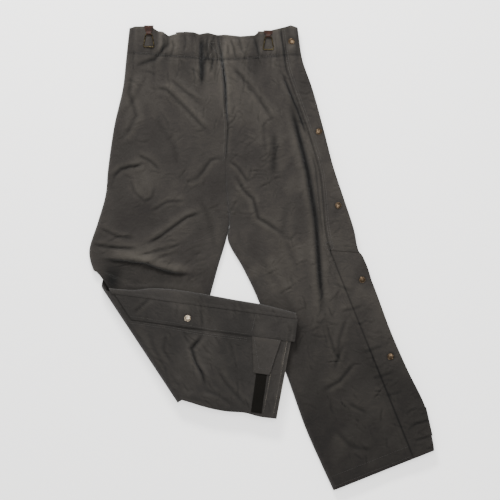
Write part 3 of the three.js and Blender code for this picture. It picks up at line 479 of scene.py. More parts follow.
# %% Displacement at a point of the plan
def near_line(xy, line):
    """Signed distance to a line (left of it is positive), and how far along it, 0 to 1."""
    line = np.array(line, float)
    run = run_along(line)
    best = np.full(len(xy), 1e9)
    signed = np.zeros(len(xy))
    share = np.zeros(len(xy))
    way = np.zeros((len(xy), 2))
    for k in range(len(line) - 1):
        edge = line[k + 1] - line[k]
        long = np.linalg.norm(edge)
        off = xy - line[k]
        t = np.clip(off @ edge / long ** 2, 0, 1)
        gap = xy - (line[k] + t[:, None] * edge)
        far = np.linalg.norm(gap, axis=1)
        hit = far < best
        side = edge[0] * off[:, 1] - edge[1] * off[:, 0]
        best = np.where(hit, far, best)
        signed = np.where(hit, np.where(side < 0, -far, far), signed)
        share = np.where(hit, (run[k] + t * long) / run[-1], share)
        way[hit] = edge / long
    return signed, share, way


def fade_ends(share, part=0.22):
    ends = np.clip(np.minimum(share, 1 - share) / part, 0, 1)
    return ends * ends * (3 - 2 * ends)


def add_creases(xy, creases, move, painted_shade, wear_and_highlight):
    for line, width, left, right, dip, lean in creases:
        s, share, way = near_line(xy, line)
        strength = fade_ends(share)
        strength = np.where(np.abs(s) > 4 * width, 0, strength)
        up_left = np.exp(-((s - width) / width) ** 2)
        up_right = np.exp(-((s + width) / width) ** 2)
        down = np.exp(-(s / (0.5 * width)) ** 2)
        move[:, 2] += strength * (left * up_left + right * up_right - dip * down)
        normal = np.stack([-way[:, 1], way[:, 0]], axis=1)
        side = 1 if left >= right else -1
        bent = up_left if left >= right else up_right
        move[:, :2] -= (side * lean * strength * bent)[:, None] * normal
        # Painted shade down in each crease's dip; its ridges are made paler, partly wear and partly painted
        # highlight.
        painted_shade += 0.18 * dip * strength * down
        wear_and_highlight += 0.16 * strength * (left * up_left ** 2 + right * up_right ** 2)


def noise(xy, size, seed, stretch=(1.0, 1.0), turn=0.0):
    """Smooth noise between -1 and 1 with bumps about 'size' millimetres apart."""
    table = np.random.RandomState(seed).uniform(-1, 1, (96, 96))
    c, s = math.cos(turn), math.sin(turn)
    u = (xy[:, 0] * c + xy[:, 1] * s) / (size * stretch[0]) + 48
    v = (-xy[:, 0] * s + xy[:, 1] * c) / (size * stretch[1]) + 48
    i, j = np.floor(u).astype(int), np.floor(v).astype(int)
    fu, fv = u - i, v - j
    fu, fv = fu * fu * (3 - 2 * fu), fv * fv * (3 - 2 * fv)
    i, j = i % 95, j % 95
    low = table[i, j] * (1 - fu) + table[i + 1, j] * fu
    high = table[i, j + 1] * (1 - fu) + table[i + 1, j + 1] * fu
    return low * (1 - fv) + high * fv


def inside_outline(xy, loop):
    """Distance inside a closed outline; negative outside it."""
    loop = np.array(loop)
    closed = np.vstack([loop, loop[:1]])
    far = np.abs(near_line(xy, closed)[0])
    within = np.zeros(len(xy), bool)
    for a, b in zip(closed[:-1], closed[1:]):
        spans = (a[1] > xy[:, 1]) != (b[1] > xy[:, 1])
        x = a[0] + (xy[:, 1] - a[1]) * (b[0] - a[0]) / ((b[1] - a[1]) or 1e-9)
        within ^= spans & (xy[:, 0] < x)
    return np.where(within, far, -far)


def smoothstep(value, low, high):
    t = np.clip((value - low) / (high - low), 0, 1)
    return t * t * (3 - 2 * t)


print("noise at the origin:", round(float(noise(np.zeros((1, 2)), 30, 7)[0]), 4))

# %% [markdown]
# The relief of the front keeps still where something hard or heavy lies on it: under the folded
# leg, round the snaps and under the suspender rings. At the knee the thigh cloth bulges into an
# overhanging lip above the folded leg, with a sunken band and a pocket beneath it. Besides the
# heights, the relief paints shade into the cloth's colour: in its creases, gathers and low parts,
# under the knee lip, in the pocket, along the flap's root seam, round the snaps and towards the
# lower end of the left leg. It also paints raised cloth paler, partly as wear and partly as
# painted highlight.

# %% Relief of the front, the folded leg and the back
FOLDED_OUTLINE = np.vstack([FOLD_OUTER, FOLD_INNER[::-1], [CREASE_B, CREASE_A]])
LEFT_SNAPS = drawn([(70, 506), (134.8, 295), (180, 122), (236, -52), (302, -232)])
RIGHT_SNAP = drawn([(-173, -142)])[0]
RING_SPOTS = np.array([(-264.5, 512.0), (15.5, 506.0)])
WAIST_LINE = [(-320, 540), (-311, 540), (-298, 544), (-261, 545), (-242, 533), (-232, 532),
              (-218, 522), (-201, 527), (-180, 532), (-159, 531), (-146, 526), (-127, 530),
              (-104, 524), (-87, 525), (-49, 521), (-16, 524), (-8, 531), (10, 532), (30, 537),
              (51, 542), (68, 547), (80, 543), (100, 534)]
CASING = 61


def plain_waist(x):
    return np.interp(x, [-310.5, -94.5, 84.5], [543.6, 526.6, 538.6])


def waist_wave(xy):
    """How far the waist edge stands above or below a straight one, fading down the leg."""
    line = np.array(WAIST_LINE, float)
    depth = plain_waist(xy[:, 0]) - xy[:, 1]
    lift = np.interp(xy[:, 0], line[:, 0], line[:, 1]) - plain_waist(xy[:, 0])
    return lift * np.exp(-np.clip(depth, 0, None) / 26), depth


def gathers(xy, depth):
    """Narrow upright folds under the elastic, pinched at the casing's stitch line."""
    folds = (2.4 * noise(xy, 7, 11, (1, 10)) + 3.6 * noise(xy, 14, 12, (1, 9))
             + 2.0 * noise(xy, 30, 13, (1, 5)))
    folds = np.clip(folds, -3.2, 4.2)
    folds *= np.exp(-(np.clip(depth, 0, None) / 92) ** 1.8)
    folds *= 1 - 0.45 * np.exp(-((depth - CASING) / 6) ** 2)
    pinch = -1.5 * np.exp(-((depth - CASING) / 3.0) ** 2)
    puff = 0.9 * smoothstep(depth, 6, 20) * (1 - smoothstep(depth, CASING - 18, CASING - 3))
    return folds + pinch + puff


def quiet_near(xy, spots, radius):
    calm = np.ones(len(xy))
    for spot in spots:
        far = np.linalg.norm(xy - spot, axis=1)
        calm *= smoothstep(far, radius * 0.5, radius * 1.5)
    return calm


def front_relief(xy):
    move = np.zeros((len(xy), 3))
    painted_shade, wear_and_highlight = np.zeros(len(xy)), np.zeros(len(xy))
    add_creases(xy, FRONT_CREASES, move, painted_shade, wear_and_highlight)
    s, share, way = near_line(xy, KNEE_RIDGE)
    strong = fade_ends(share, 0.3) * (np.abs(s) < 90)
    strong *= xy[:, 0] < -100
    lip = np.exp(-((s - 7) / 9) ** 2)
    sunk = smoothstep(-s, -1, 7) * (1 - smoothstep(-s, 74, 92))
    move[:, 2] += strong * (6.0 * lip - 4.4 * sunk)
    move[:, 1] -= strong * 5.5 * np.exp(-((s - 4) / 7) ** 2)
    # Painted shade in the sunken band and just under the knee lip; painted highlight along the lip.
    painted_shade += strong * (0.30 * sunk + 0.5 * np.exp(-((s + 5) / 5) ** 2))
    wear_and_highlight += strong * 0.8 * lip
    pocket = np.exp(-(((xy[:, 0] + 352) / 22) ** 2 + ((xy[:, 1] + 50) / 32) ** 2))
    move[:, 2] -= 3.2 * pocket
    # Painted shade in the pocket at the knee.
    painted_shade += 0.9 * pocket
    lift, depth = waist_wave(xy)
    tucks = gathers(xy, depth)
    move[:, 2] += tucks
    # Painted shade down in the gathers and along the casing's stitch line; painted highlight on the gathers'
    # crests; real wear along the waist edge.
    painted_shade += 0.16 * np.clip(-tucks, 0, 4) + 0.25 * np.exp(-((depth - CASING) / 2.5) ** 2)
    wear_and_highlight += 0.2 * np.clip(tucks, 0, 3)
    wear_and_highlight += 0.7 * np.exp(-(np.clip(depth, 0, None) / 5) ** 2)
    uneven = 1.5 * noise(xy, 90, 21) + 1.1 * noise(xy, 42, 22, (1, 1.6), 0.4)
    uneven += 0.75 * noise(xy, 20, 23, (1, 1.8), -0.5) + 0.42 * noise(xy, 9, 24, (1, 1.5))
    move[:, 2] += uneven
    # Painted highlight on the raised parts of the cloth's unevenness, painted shade in its low parts.
    wear_and_highlight += 0.25 * np.clip(uneven, 0, 2)
    painted_shade += 0.10 * np.clip(-uneven, 0, 3)
    seam, share, way = near_line(xy, LEFT_ROOT_LINE)
    groove = np.exp(-(seam / 2.0) ** 2) * fade_ends(share, 0.03)
    # Painted shade along the flap's root seam.
    painted_shade += 0.6 * groove
    # Painted shade: darker towards the lower end of the left leg, where the light is weaker.
    painted_shade += 0.42 * smoothstep(-xy[:, 1], 40, 360) * smoothstep(xy[:, 0], 40, 120)
    calm = quiet_near(xy, LEFT_SNAPS, 13) * quiet_near(xy, RING_SPOTS, 21)
    still = (1 - smoothstep(np.abs(seam), 3, 17)) * smoothstep(-xy[:, 1], 10, 45)
    calm *= 1 - 0.9 * still * (xy[:, 0] > 150)
    under = inside_outline(xy, FOLDED_OUTLINE)
    calm *= 1 - smoothstep(under, -16, -3)
    move *= calm[:, None]
    move[:, 2] -= 0.5 * smoothstep(under, -16, -3)
    move[:, 1] += lift
    # Painted shade in a ring round each snap cap.
    painted_shade += 0.5 * (1 - smoothstep(
        np.min([np.linalg.norm(xy - q, axis=1) for q in LEFT_SNAPS], axis=0), 7, 13))
    return move, painted_shade, wear_and_highlight


HINGE_WAY = (HINGE_B - HINGE_A) / np.linalg.norm(HINGE_B - HINGE_A)
HINGE_DOWN = np.array([HINGE_WAY[1], -HINGE_WAY[0]])
HINGE_LINE = np.array([HINGE_A - HINGE_WAY * 60, HINGE_B + HINGE_WAY * 60])


def fold_relief(xy):
    move = np.zeros((len(xy), 3))
    painted_shade, wear_and_highlight = np.zeros(len(xy)), np.zeros(len(xy))
    add_creases(xy, FOLD_CREASES, move, painted_shade, wear_and_highlight)
    uneven = 1.0 * noise(xy, 60, 31) + 0.7 * noise(xy, 26, 32, (1, 1.4), -0.5)
    uneven += 0.35 * noise(xy, 10, 33)
    move[:, 2] += uneven
    # Painted highlight on the raised parts of the cloth, painted shade in its low parts.
    wear_and_highlight += 0.25 * np.clip(uneven, 0, 2)
    painted_shade += 0.10 * np.clip(-uneven, 0, 3)
    hem_way = (FOLD_INNER[-1] - FOLD_OUTER[-1]) / np.linalg.norm(FOLD_INNER[-1] - FOLD_OUTER[-1])
    from_hem = np.abs((xy - FOLD_OUTER[-1]) @ np.array([-hem_way[1], hem_way[0]]))
    wear = np.exp(-(from_hem / 2.5) ** 2) + 0.6 * np.exp(-((from_hem - 11) / 2.0) ** 2)
    wear_and_highlight += 1.1 * wear * (0.45 + 0.55 * noise(xy, 16, 34))
    from_hinge = np.abs((xy - HINGE_A) @ HINGE_DOWN)
    move *= (0.1 + 0.9 * smoothstep(from_hinge, 1.5, 13))[:, None]
    near_crease = (xy - CREASE_A) @ CREASE_OUT
    move *= (quiet_near(xy, [RIGHT_SNAP], 13) * smoothstep(-near_crease, 4, 26))[:, None]
    snap = np.linalg.norm(xy - RIGHT_SNAP, axis=1)
    # Painted shade in a ring round the snap cap.
    painted_shade += 0.5 * (1 - smoothstep(snap, 7, 13))
    return move, painted_shade, wear_and_highlight


def back_relief(xy):
    move = np.zeros((len(xy), 3))
    lift, depth = waist_wave(xy)
    move[:, 2] += 0.9 * noise(xy, 90, 41) + 0.5 * noise(xy, 38, 42) + 0.25 * noise(xy, 15, 43)
    move[:, 2] += 0.5 * gathers(xy, depth)
    move[:, 1] += lift
    return move, np.zeros(len(xy)), np.zeros(len(xy))


def no_relief(xy):
    return np.zeros((len(xy), 3)), np.zeros(len(xy)), np.zeros(len(xy))


def inner_relief(xy):
    """Dents that only go into the folded leg, so the cloth stays clear of the thigh under it."""
    inward = 1.8 * np.clip(noise(xy, 70, 35), 0, 1) + 1.2 * np.clip(noise(xy, 27, 36), 0, 1)
    inward += 0.6 * np.clip(noise(xy, 11, 37), 0, 1)
    move = np.zeros((len(xy), 3))
    move[:, 2] = inward
    # The dents are made darker: painted shade.
    return move, 0.14 * inward, np.zeros(len(xy))


test = front_relief(np.array([(109.0, 147.0), (-244.0, -10.0)]))[0]
print("relief in the leg pleat and on the knee lip:", test[:, 2].round(2), "mm")

# %% [markdown]
# A grid of points becomes a sheet of cloth: quads between the points, a UV map in metres that
# follows the threads, the crease and ridge attributes that the canvas material reads, and a
# Solidify modifier for the cloth's own thickness, so that its cut edges show. The crease
# attribute carries painted shade; the ridge attribute carries a paler tone that is partly wear
# and partly painted highlight.

# %% From a grid to a piece of cloth
def sample_section(section, counts):
    """Points along a section: each stretch is a list of (p, z, top), cut into 'count' steps."""
    out = []
    for stretch, count in zip(section, counts):
        stretch = np.array(stretch, float)
        run = run_along(stretch[:, :2])
        at = np.linspace(0, run[-1], count + 1)
        if out:
            at = at[1:]
        out.append(np.stack([np.interp(at, run, stretch[:, k]) for k in range(3)], axis=1))
    return np.vstack(out)


def row_at(outer, inner, t):
    """A row's start on the outer edge, its direction and its width."""
    o = curve_through(outer, np.array([t]))[0]
    i = curve_through(inner, np.array([t]))[0]
    width = np.linalg.norm(i - o)
    return o, (i - o) / width, width


def cloth_grid(outer, inner, section, counts, spacing, first=0.0, last=None):
    rows, tops = [], []
    for t in even_places(outer, inner, spacing, first, last):
        o, way, width = row_at(outer, inner, t)
        line = sample_section(section(o, way, width, t), counts)
        rows.append(np.column_stack([o + line[:, :1] * way, line[:, 1]]))
        tops.append(line[:, 2])
    return np.array(rows), np.array(tops)


def make_sheet(name, grid, top, thickness, material, reliefs):
    nr, nc = grid.shape[:2]
    u = np.concatenate([[0], np.cumsum(np.linalg.norm(np.diff(grid, axis=1), axis=2).mean(0))])
    v = np.concatenate([[0], np.cumsum(np.linalg.norm(np.diff(grid, axis=0), axis=2).mean(1))])
    points = grid.reshape(-1, 3).copy()
    on_top = top.reshape(-1)
    upper, lower = reliefs
    up, up_painted_shade, up_wear_and_highlight = upper(points[:, :2])
    low, low_painted_shade, low_wear_and_highlight = lower(points[:, :2])
    points += on_top[:, None] * up + (1 - on_top)[:, None] * low
    painted_shade = on_top * up_painted_shade + (1 - on_top) * low_painted_shade
    wear_and_highlight = on_top * up_wear_and_highlight + (1 - on_top) * low_wear_and_highlight
    faces = []
    for j in range(nr - 1):
        for k in range(nc - 1):
            a = j * nc + k
            faces.append((a, a + 1, a + nc + 1, a + nc))
    mesh = bpy.data.meshes.new(name)
    mesh.from_pydata((points * MM).tolist(), [], faces)
    layer = mesh.uv_layers.new(name="cloth")
    corner = np.zeros(len(mesh.loops), int)
    mesh.loops.foreach_get("vertex_index", corner)
    flat = np.column_stack([np.tile(u, nr), np.repeat(v, nc)]) * MM
    layer.data.foreach_set("uv", flat[corner].ravel())
    # crease carries the painted shade, ridge the paler tone of raised cloth (partly wear, partly painted
    # highlight).
    for key, values in (("crease", painted_shade), ("ridge", wear_and_highlight)):
        attribute = mesh.attributes.new(key, "FLOAT", "POINT")
        attribute.data.foreach_set("value", np.clip(values, 0, 1.3).astype(np.float32))
    piece = bpy.data.objects.new(name, mesh)
    bpy.context.scene.collection.objects.link(piece)
    piece.data.materials.append(material)
    thicken(piece, thickness)
    return piece


def work_on(piece):
    for other in bpy.context.selected_objects:
        other.select_set(False)
    piece.select_set(True)
    bpy.context.view_layer.objects.active = piece


def thicken(piece, thickness):
    work_on(piece)
    solid = piece.modifiers.new("thickness", "SOLIDIFY")
    solid.thickness = thickness * MM
    solid.offset = 0
    bpy.ops.object.modifier_apply(modifier=solid.name)
    bpy.ops.object.shade_smooth_by_angle(angle=math.radians(55))


def settle(piece, body, nodes):
    """The piece rides with a CAD body and stands in for its nodes, which are hidden."""
    if body:
        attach(piece, body)
    if nodes:
        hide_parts(*nodes)
    print(f"{piece.name}: {len(piece.data.polygons)} faces")


print("cloth tools ready")

# %% [markdown]
# ## The legs
# The wearer's left leg is two cloths. The back cloth lies under, turns round the outer edge and
# runs in on top as the underlap that the snaps hold. The front cloth starts at the flap's root
# seam, crosses the leg and, below the crotch, turns down to the inseam.

# %% Left leg
def left_front_section(o, way, width, t):
    root = crossing(o, way, LEFT_ROOT_LINE)
    turn = smoothstep(np.array(t), CROTCH - 0.1, CROTCH + 0.9)
    low = Z_FRONT - INSEAM_DROP * turn
    lip = SEAM_LIP * (1 - turn)
    flat = [(root - 4, Z_FRONT - 1.4, 1), (root, Z_FRONT - 0.6, 1), (root + 4, Z_FRONT, 1),
            (width - 15, Z_FRONT, 1)]
    edge = [(width - 15, Z_FRONT, 1), (width - 9, Z_FRONT - 0.09 * INSEAM_DROP * turn, 1),
            (width - 4, Z_FRONT - 0.33 * INSEAM_DROP * turn - 0.2 * lip, 0.8 + 0.2 * (1 - turn)),
            (width - 0.6, Z_FRONT - 0.66 * INSEAM_DROP * turn - lip, 0.5 + 0.5 * (1 - turn)),
            (width - 0.2 + 7 * (1 - turn), low - 1.5 * lip, 0.2 + 0.8 * (1 - turn))]
    touch = float(smoothstep(np.array(t), CROTCH - 0.5, CROTCH + 0.3)
                  * (1 - smoothstep(np.array(t), CROTCH + 1.95, CROTCH + 2.35)))
    edge = [(p + 3.6 * touch * k / 4, z, s) for k, (p, z, s) in enumerate(edge)]
    return flat, edge


def left_back_section(o, way, width, t):
    root = crossing(o, way, LEFT_ROOT_LINE)
    turned = turned_edge(Z_BACK, Z_UNDERLAP, 0, 1)
    start, end = turned[0][0], turned[-1][0]
    return ([(width - 0.2, Z_BACK, 0), (start, Z_BACK, 0)], turned,
            [(end, Z_UNDERLAP, 1), (root + 8, Z_UNDERLAP, 1)])


grid, top = cloth_grid(LEFT_OUTER, LEFT_INNER, left_front_section, (60, 8), 3.3)
left_front = make_sheet("left_front_cloth", grid, top, CLOTH, UPPER_CANVAS,
                        (front_relief, back_relief))
settle(left_front, "garment", ["front_left_panel", "left_inseam"])

grid, top = cloth_grid(LEFT_OUTER, LEFT_INNER, left_back_section, (40, 10, 14), 5.0)
left_back = make_sheet("left_back_cloth", grid, top, CLOTH, UPPER_CANVAS,
                       (front_relief, back_relief))
settle(left_back, "garment", ["back_left_panel", "left_side_turn", "left_underlap"])

# %% [markdown]
# The right thigh's front cloth crosses the thigh, turns round the outer edge and ends under the
# leg at the root of the thigh flap, which lies hidden beneath. The back cloth is one long sheet:
# it runs down the thigh, turns round the outside of the knee fold and comes back on top of the
# folded lower leg.

# %% Right thigh and the long back cloth
def thigh_front_section(o, way, width, t):
    root = max(10.0, crossing(o, way, THIGH_ROOT_LINE))
    turn = smoothstep(np.array(t), CROTCH - 0.1, CROTCH + 0.9)
    low = Z_FRONT - INSEAM_DROP * turn
    lip = SEAM_LIP * (1 - turn)
    edge = [(width - 0.2, low - 0.6 * lip, 0.2 + 0.8 * (1 - turn)),
            (width - 0.8, Z_FRONT - 0.66 * INSEAM_DROP * turn - 0.4 * lip, 0.5 + 0.5 * (1 - turn)),
            (width - 4, Z_FRONT - 0.33 * INSEAM_DROP * turn, 0.8 + 0.2 * (1 - turn)),
            (width - 9, Z_FRONT - 0.09 * INSEAM_DROP * turn, 1), (width - 15, Z_FRONT, 1)]
    turned = turned_edge(Z_WRAP, Z_FRONT, 0, 1)[::-1]
    start, end = turned[0][0], turned[-1][0]
    under = [(end, Z_WRAP, 0), (max(root, end + 0.6), Z_WRAP, 0)]
    return edge, [(width - 15, Z_FRONT, 1), (start, Z_FRONT, 1)], turned, under


knee_outer = np.vstack([THIGH_OUTER, (THIGH_OUTER[8] + CREASE_A) / 2, CREASE_A])
knee_inner = np.vstack([THIGH_INNER, THIGH_INNER[8] * 0.55 + CREASE_B * 0.45, CREASE_B])
grid, top = cloth_grid(knee_outer, knee_inner, thigh_front_section, (8, 64, 10, 3), 3.3)
thigh_front = make_sheet("right_thigh_front_cloth", grid, top, CLOTH, UPPER_CANVAS,
                         (front_relief, back_relief))
settle(thigh_front, "garment", ["front_right_thigh_panel", "right_side_turn", "right_inseam"])


def even_rows(outer, inner, z, columns, spacing, inset):
    places = even_places(outer, inner, spacing)
    starts, ends = curve_through(outer, places), curve_through(inner, places)
    way = (ends - starts) / np.linalg.norm(ends - starts, axis=1)[:, None]
    starts = starts + way * inset
    share = np.linspace(0, 1, columns + 1)[None, :, None]
    flat = starts[:, None] * (1 - share) + ends[:, None] * share
    return np.concatenate([flat, np.full(flat.shape[:2] + (1,), z)], axis=2)


lower_outer = np.vstack([CREASE_A * 0.9 + CREASE_B * 0.1, FOLD_OUTER])
lower_inner = np.vstack([CREASE_B, FOLD_INNER])


def long_back_grid(columns=66, spacing=3.6):
    """Thigh, half a turn round the crease, then the folded leg, as one grid."""
    radius = Z_AXIS - Z_BACK
    thigh = even_rows(knee_outer, knee_inner, Z_BACK, columns, spacing, 9)
    lower = even_rows(lower_outer, lower_inner, 2 * Z_AXIS - Z_BACK, columns, spacing, 9)
    line_a, line_b = thigh[-1][:, :2], lower[0][:, :2]
    turn = []
    for k in range(1, 12):
        a = -math.pi / 2 + math.pi * k / 12
        flat = line_a * (1 - k / 12) + line_b * k / 12 + CREASE_OUT * radius * math.cos(a)
        turn.append(np.column_stack([flat, np.full(len(flat), Z_AXIS + radius * math.sin(a))]))
    return np.concatenate([thigh, np.array(turn), lower]), len(thigh), len(turn)


grid, thigh_rows, turn_rows = long_back_grid()
top = np.zeros(grid.shape[:2])
top[thigh_rows + turn_rows:] = 1
back_cloth = make_sheet("right_back_cloth", grid, top, CLOTH, LOWER_CANVAS,
                        (fold_relief, back_relief))
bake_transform(back_cloth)
settle(back_cloth, None, ["back_right_thigh_panel", "knee_fold", "right_lower_back_panel"])

# %% [markdown]
# The lower leg's front cloth is underneath while the leg is folded. It turns round what is now
# the top edge and shows there as a narrow band up to the root seam of the lower flap.

# %% Right lower leg, front cloth
def folded(z):
    return 2 * Z_AXIS - z


def lower_front_section(o, way, width, t):
    root = max(8.0, crossing(o, way, HINGE_LINE))
    edge = [(width - 0.2, folded(7.6), 0.3), (width - 0.8, folded(11), 0), (width - 4, folded(14.4), 0),
            (width - 9, folded(16.6), 0), (width - 15, folded(Z_FRONT), 0)]
    turned = turned_edge(folded(Z_FRONT), folded(Z_WRAP), 0, 1)
    end = turned[-1][0]
    return (edge, [(width - 15, folded(Z_FRONT), 0), (turned[0][0], folded(Z_FRONT), 0)], turned,
            [(end, folded(Z_WRAP), 1), (max(root, end + 0.4), folded(Z_WRAP), 1)])


grid, top = cloth_grid(lower_outer, lower_inner, lower_front_section, (6, 34, 10, 2), 4.6)
lower_front = make_sheet("right_lower_front_cloth", grid, top, CLOTH, LOWER_CANVAS,
                         (fold_relief, inner_relief))
settle(lower_front, "right_lower_leg", ["right_lower_front_panel"])

# %% [markdown]
# ## Placket flaps
# The left flap lies on the front, from its root seam to the outer edge, and covers the snaps.
# Its upper part stays buttoned; the lower part opens, so it is a cloth of its own. A narrow root
# strip beside it carries the two lines of topstitching. A strip that lies on another cloth gets
# a little extra room, so that the two never show through each other in the folds.

# %% Left flap
def strip_section(start, end, z, free_at_start):
    """A flat strip whose sewn edge dips to its seam and whose free edge droops."""
    def section(o, way, width, t):
        a, b = start(o, way, width), end(o, way, width)
        soft = min(5.0, (b - a) / 3)
        low_a, low_b = (0.9, 0.5) if free_at_start else (0.5, 0.9)
        return ([(a, z - low_a, 1), (a + soft * 0.5, z - 0.25, 1), (a + soft, z, 1)],
                [(a + soft, z, 1), (b - soft, z, 1)],
                [(b - soft, z, 1), (b - soft * 0.5, z - 0.2, 1), (b, z - low_b, 1)])
    return section


def joint_place(name):
    """A joint's point and axis, in metres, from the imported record."""
    joint = next(j for j in frame["record"]["behaviour"]["joints"] if j["name"] == name)
    return np.array(joint["pos_m"]), np.array(joint["axis"])


def left_root(o, way, width):
    return crossing(o, way, LEFT_ROOT_LINE)


SPLIT_AT = 7.08


def flap_section(tuck):
    """The flap's section. The lower flap starts 'tuck' mm down, under the upper flap, and below
    the split the edge bulges out by a few millimetres and comes back."""
    def section(o, way, width, t):
        below = float(smoothstep(np.array(t), SPLIT_AT - 0.04, SPLIT_AT + 0.18))
        bulge = 5.0 * below * (1 - float(smoothstep(np.array(t), SPLIT_AT + 0.35, SPLIT_AT + 1.3)))
        sunk = tuck * math.exp(-((t - SPLIT_AT) / 0.1) ** 2)
        plain = strip_section(lambda o, way, w: 0.4 - bulge,
                              lambda o, way, w: left_root(o, way, w) + 1.5,
                              Z_OVER + 0.3 - sunk, True)
        return plain(o, way, width, t)
    return section


grid, top = cloth_grid(LEFT_OUTER, LEFT_INNER, flap_section(0.0), (4, 14, 4), 3.3,
                       0.0, SPLIT_AT + 0.02)
upper_flap = make_sheet("left_flap_upper_cloth", grid, top, CLOTH, UPPER_CANVAS,
                        (front_relief, back_relief))
settle(upper_flap, "garment", ["left_flap_upper"])

grid, top = cloth_grid(LEFT_OUTER, LEFT_INNER, flap_section(1.3), (4, 14, 4), 3.3,
                       SPLIT_AT - 0.09, 14.0)
lower_flap = make_sheet("left_flap_lower_cloth", grid, top, CLOTH, UPPER_CANVAS,
                        (front_relief, back_relief))
pivot, along = joint_place("left_flap_open")
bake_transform(lower_flap)
settle(lower_flap, None, ["left_flap_lower"])

root_strip = strip_section(lambda o, way, w: left_root(o, way, w) + 1.8,
                           lambda o, way, w: left_root(o, way, w) + 12, Z_OVER + 0.2, False)
grid, top = cloth_grid(LEFT_OUTER, LEFT_INNER, root_strip, (2, 3, 2), 3.3)
strip = make_sheet("left_flap_root_strip", grid, top, CLOTH * 0.8, UPPER_CANVAS,
                   (front_relief, back_relief))
settle(strip, "garment", ["left_flap_seam"])

# %% [markdown]
# The right side's flap folds under the leg, so on the thigh it can only be seen from below. It
# hangs from its root strip and is held by four closed snaps.

# %% Right thigh flap, under the leg
def thigh_root(o, way, width):
    return max(10.0, crossing(o, way, THIGH_ROOT_LINE))


def under_relief(xy):
    move = np.zeros((len(xy), 3))
    lift, depth = waist_wave(xy)
    move[:, 2] += 0.5 * noise(xy, 60, 51) + 0.2 * noise(xy, 20, 52)
    move[:, 1] += lift
    return move, np.zeros(len(xy)), np.zeros(len(xy))


for name, start, end, node in (
        ("right_flap_upper_strip", lambda o, way, w: thigh_root(o, way, w) - 9.0,
         lambda o, way, w: thigh_root(o, way, w) - 0.15, "right_flap_seam_upper"),
        ("right_flap_upper_cloth", lambda o, way, w: thigh_root(o, way, w) + 0.15,
         lambda o, way, w: thigh_root(o, way, w) + 66, "right_flap_upper")):
    section = strip_section(start, end, Z_FLOOR_FLAP + 0.2, False)
    grid, top = cloth_grid(THIGH_OUTER, THIGH_INNER, section, (2, 8, 2), 6.0)
    under = make_sheet(name, grid, top, CLOTH, UPPER_CANVAS, (under_relief, under_relief))
    settle(under, "garment", [node])

# %% [markdown]
# On the folded leg the flap is laid out along its hinge line: u runs along the hinge and v runs
# down the leg from it. The flap sags between its snap and its edges. The cuff tab hangs from the
# flap's free edge, narrows to its tip, and is held by the hook patch on its underside.

# %% Right lower flap, cuff tab and the two patches
Z_LOW_FLAP = folded(Z_FLOOR_FLAP)
HINGE_LONG = float(np.linalg.norm(HINGE_B - HINGE_A))
FLAP_DEEP = 54.0
TAB_AT, TAB_ROOT, TAB_TIP, TAB_LONG = 344.0, 68.0, 37.0, 84.0
TAB_START = FLAP_DEEP + 0.4


def on_hinge(u, v):
    return HINGE_A + HINGE_WAY * u + HINGE_DOWN * v


def sag_relief(xy):
    """The folded leg's creases, with the flap let down towards the cloth below it."""
    move, painted_shade, wear_and_highlight = fold_relief(xy)
    far = np.linalg.norm(xy - RIGHT_SNAP, axis=1)
    move[:, 2] -= 1.3 * smoothstep(far, 12, 45)
    return move, painted_shade, wear_and_highlight


def hinge_grid(u_range, v_range, z, steps, edge_fall=(0.4, 1.0), taper=None, slant=0.0):
    """A patch laid out along the hinge. slant skews its start end to run with the knee crease."""
    us = np.linspace(*u_range, steps[0] + 1)
    vs = np.linspace(*v_range, steps[1] + 1)
    grid = np.zeros((len(us), len(vs), 3))
    for i, u in enumerate(us):
        share = (u - us[0]) / (us[-1] - us[0])
        for j, v in enumerate(vs):
            t = (v - vs[0]) / (vs[-1] - vs[0])
            width = 1 if taper is None else 1 - t * (1 - taper)
            along = (us[0] + us[-1]) / 2 + (u - (us[0] + us[-1]) / 2) * width
            along += slant * v * (1 - share)
            fall = edge_fall[0] * math.exp(-(v - vs[0]) / 2.5)
            fall += edge_fall[1] * math.exp(-(vs[-1] - v) / 4.0)
            grid[i, j, :2] = on_hinge(along, v)
            grid[i, j, 2] = z - fall
    return grid


CREASE_SLANT = float(CREASE_DIR @ HINGE_WAY / (CREASE_DIR @ HINGE_DOWN))
grid = hinge_grid((-22, HINGE_LONG + 5), (0.2, FLAP_DEEP), Z_LOW_FLAP + 0.3, (96, 14),
                  slant=CREASE_SLANT)
low_flap = make_sheet("right_flap_lower_cloth", grid, np.ones(grid.shape[:2]), CLOTH,
                      LOWER_CANVAS, (sag_relief, no_relief))
settle(low_flap, "right_flap", ["right_flap_lower"])

grid = hinge_grid((-20, HINGE_LONG + 3), (-7.4, -0.2), Z_LOW_FLAP, (96, 3), (1.2, 0.2),
                  slant=CREASE_SLANT)
strip = make_sheet("right_flap_lower_strip", grid, np.ones(grid.shape[:2]), CLOTH * 0.8,
                   LOWER_CANVAS, (fold_relief, no_relief))
settle(strip, "right_lower_leg", ["right_flap_seam_lower"])


def hook_material(name, colour, pile):
    """Hook and loop tape: nylon pile, so nearly black with a dusty, uneven face."""
    material, tree, shader = new_material(name, colour, 0.96)
    uv = add_node(tree, "ShaderNodeUVMap", {"uv_map": "cloth"}).outputs["UV"]
    fuzz = add_node(tree, "ShaderNodeTexNoise", links={"Vector": uv}, Scale=pile, Detail=6.0,
                    Roughness=0.8)
    tone = add_node(tree, "ShaderNodeValToRGB", links={"Fac": fuzz.outputs["Fac"]},
                    stops=[(0.4, colour), (0.85, "#1F1D19")])
    tree.links.new(tone.outputs["Color"], shader.inputs["Base Color"])
    bump = add_node(tree, "ShaderNodeBump", links={"Height": fuzz.outputs["Fac"]},
                    Strength=0.9, Distance=0.0009)
    tree.links.new(bump.outputs[0], shader.inputs["Normal"])
    shader.inputs["Specular IOR Level"].default_value = 0.1
    return material


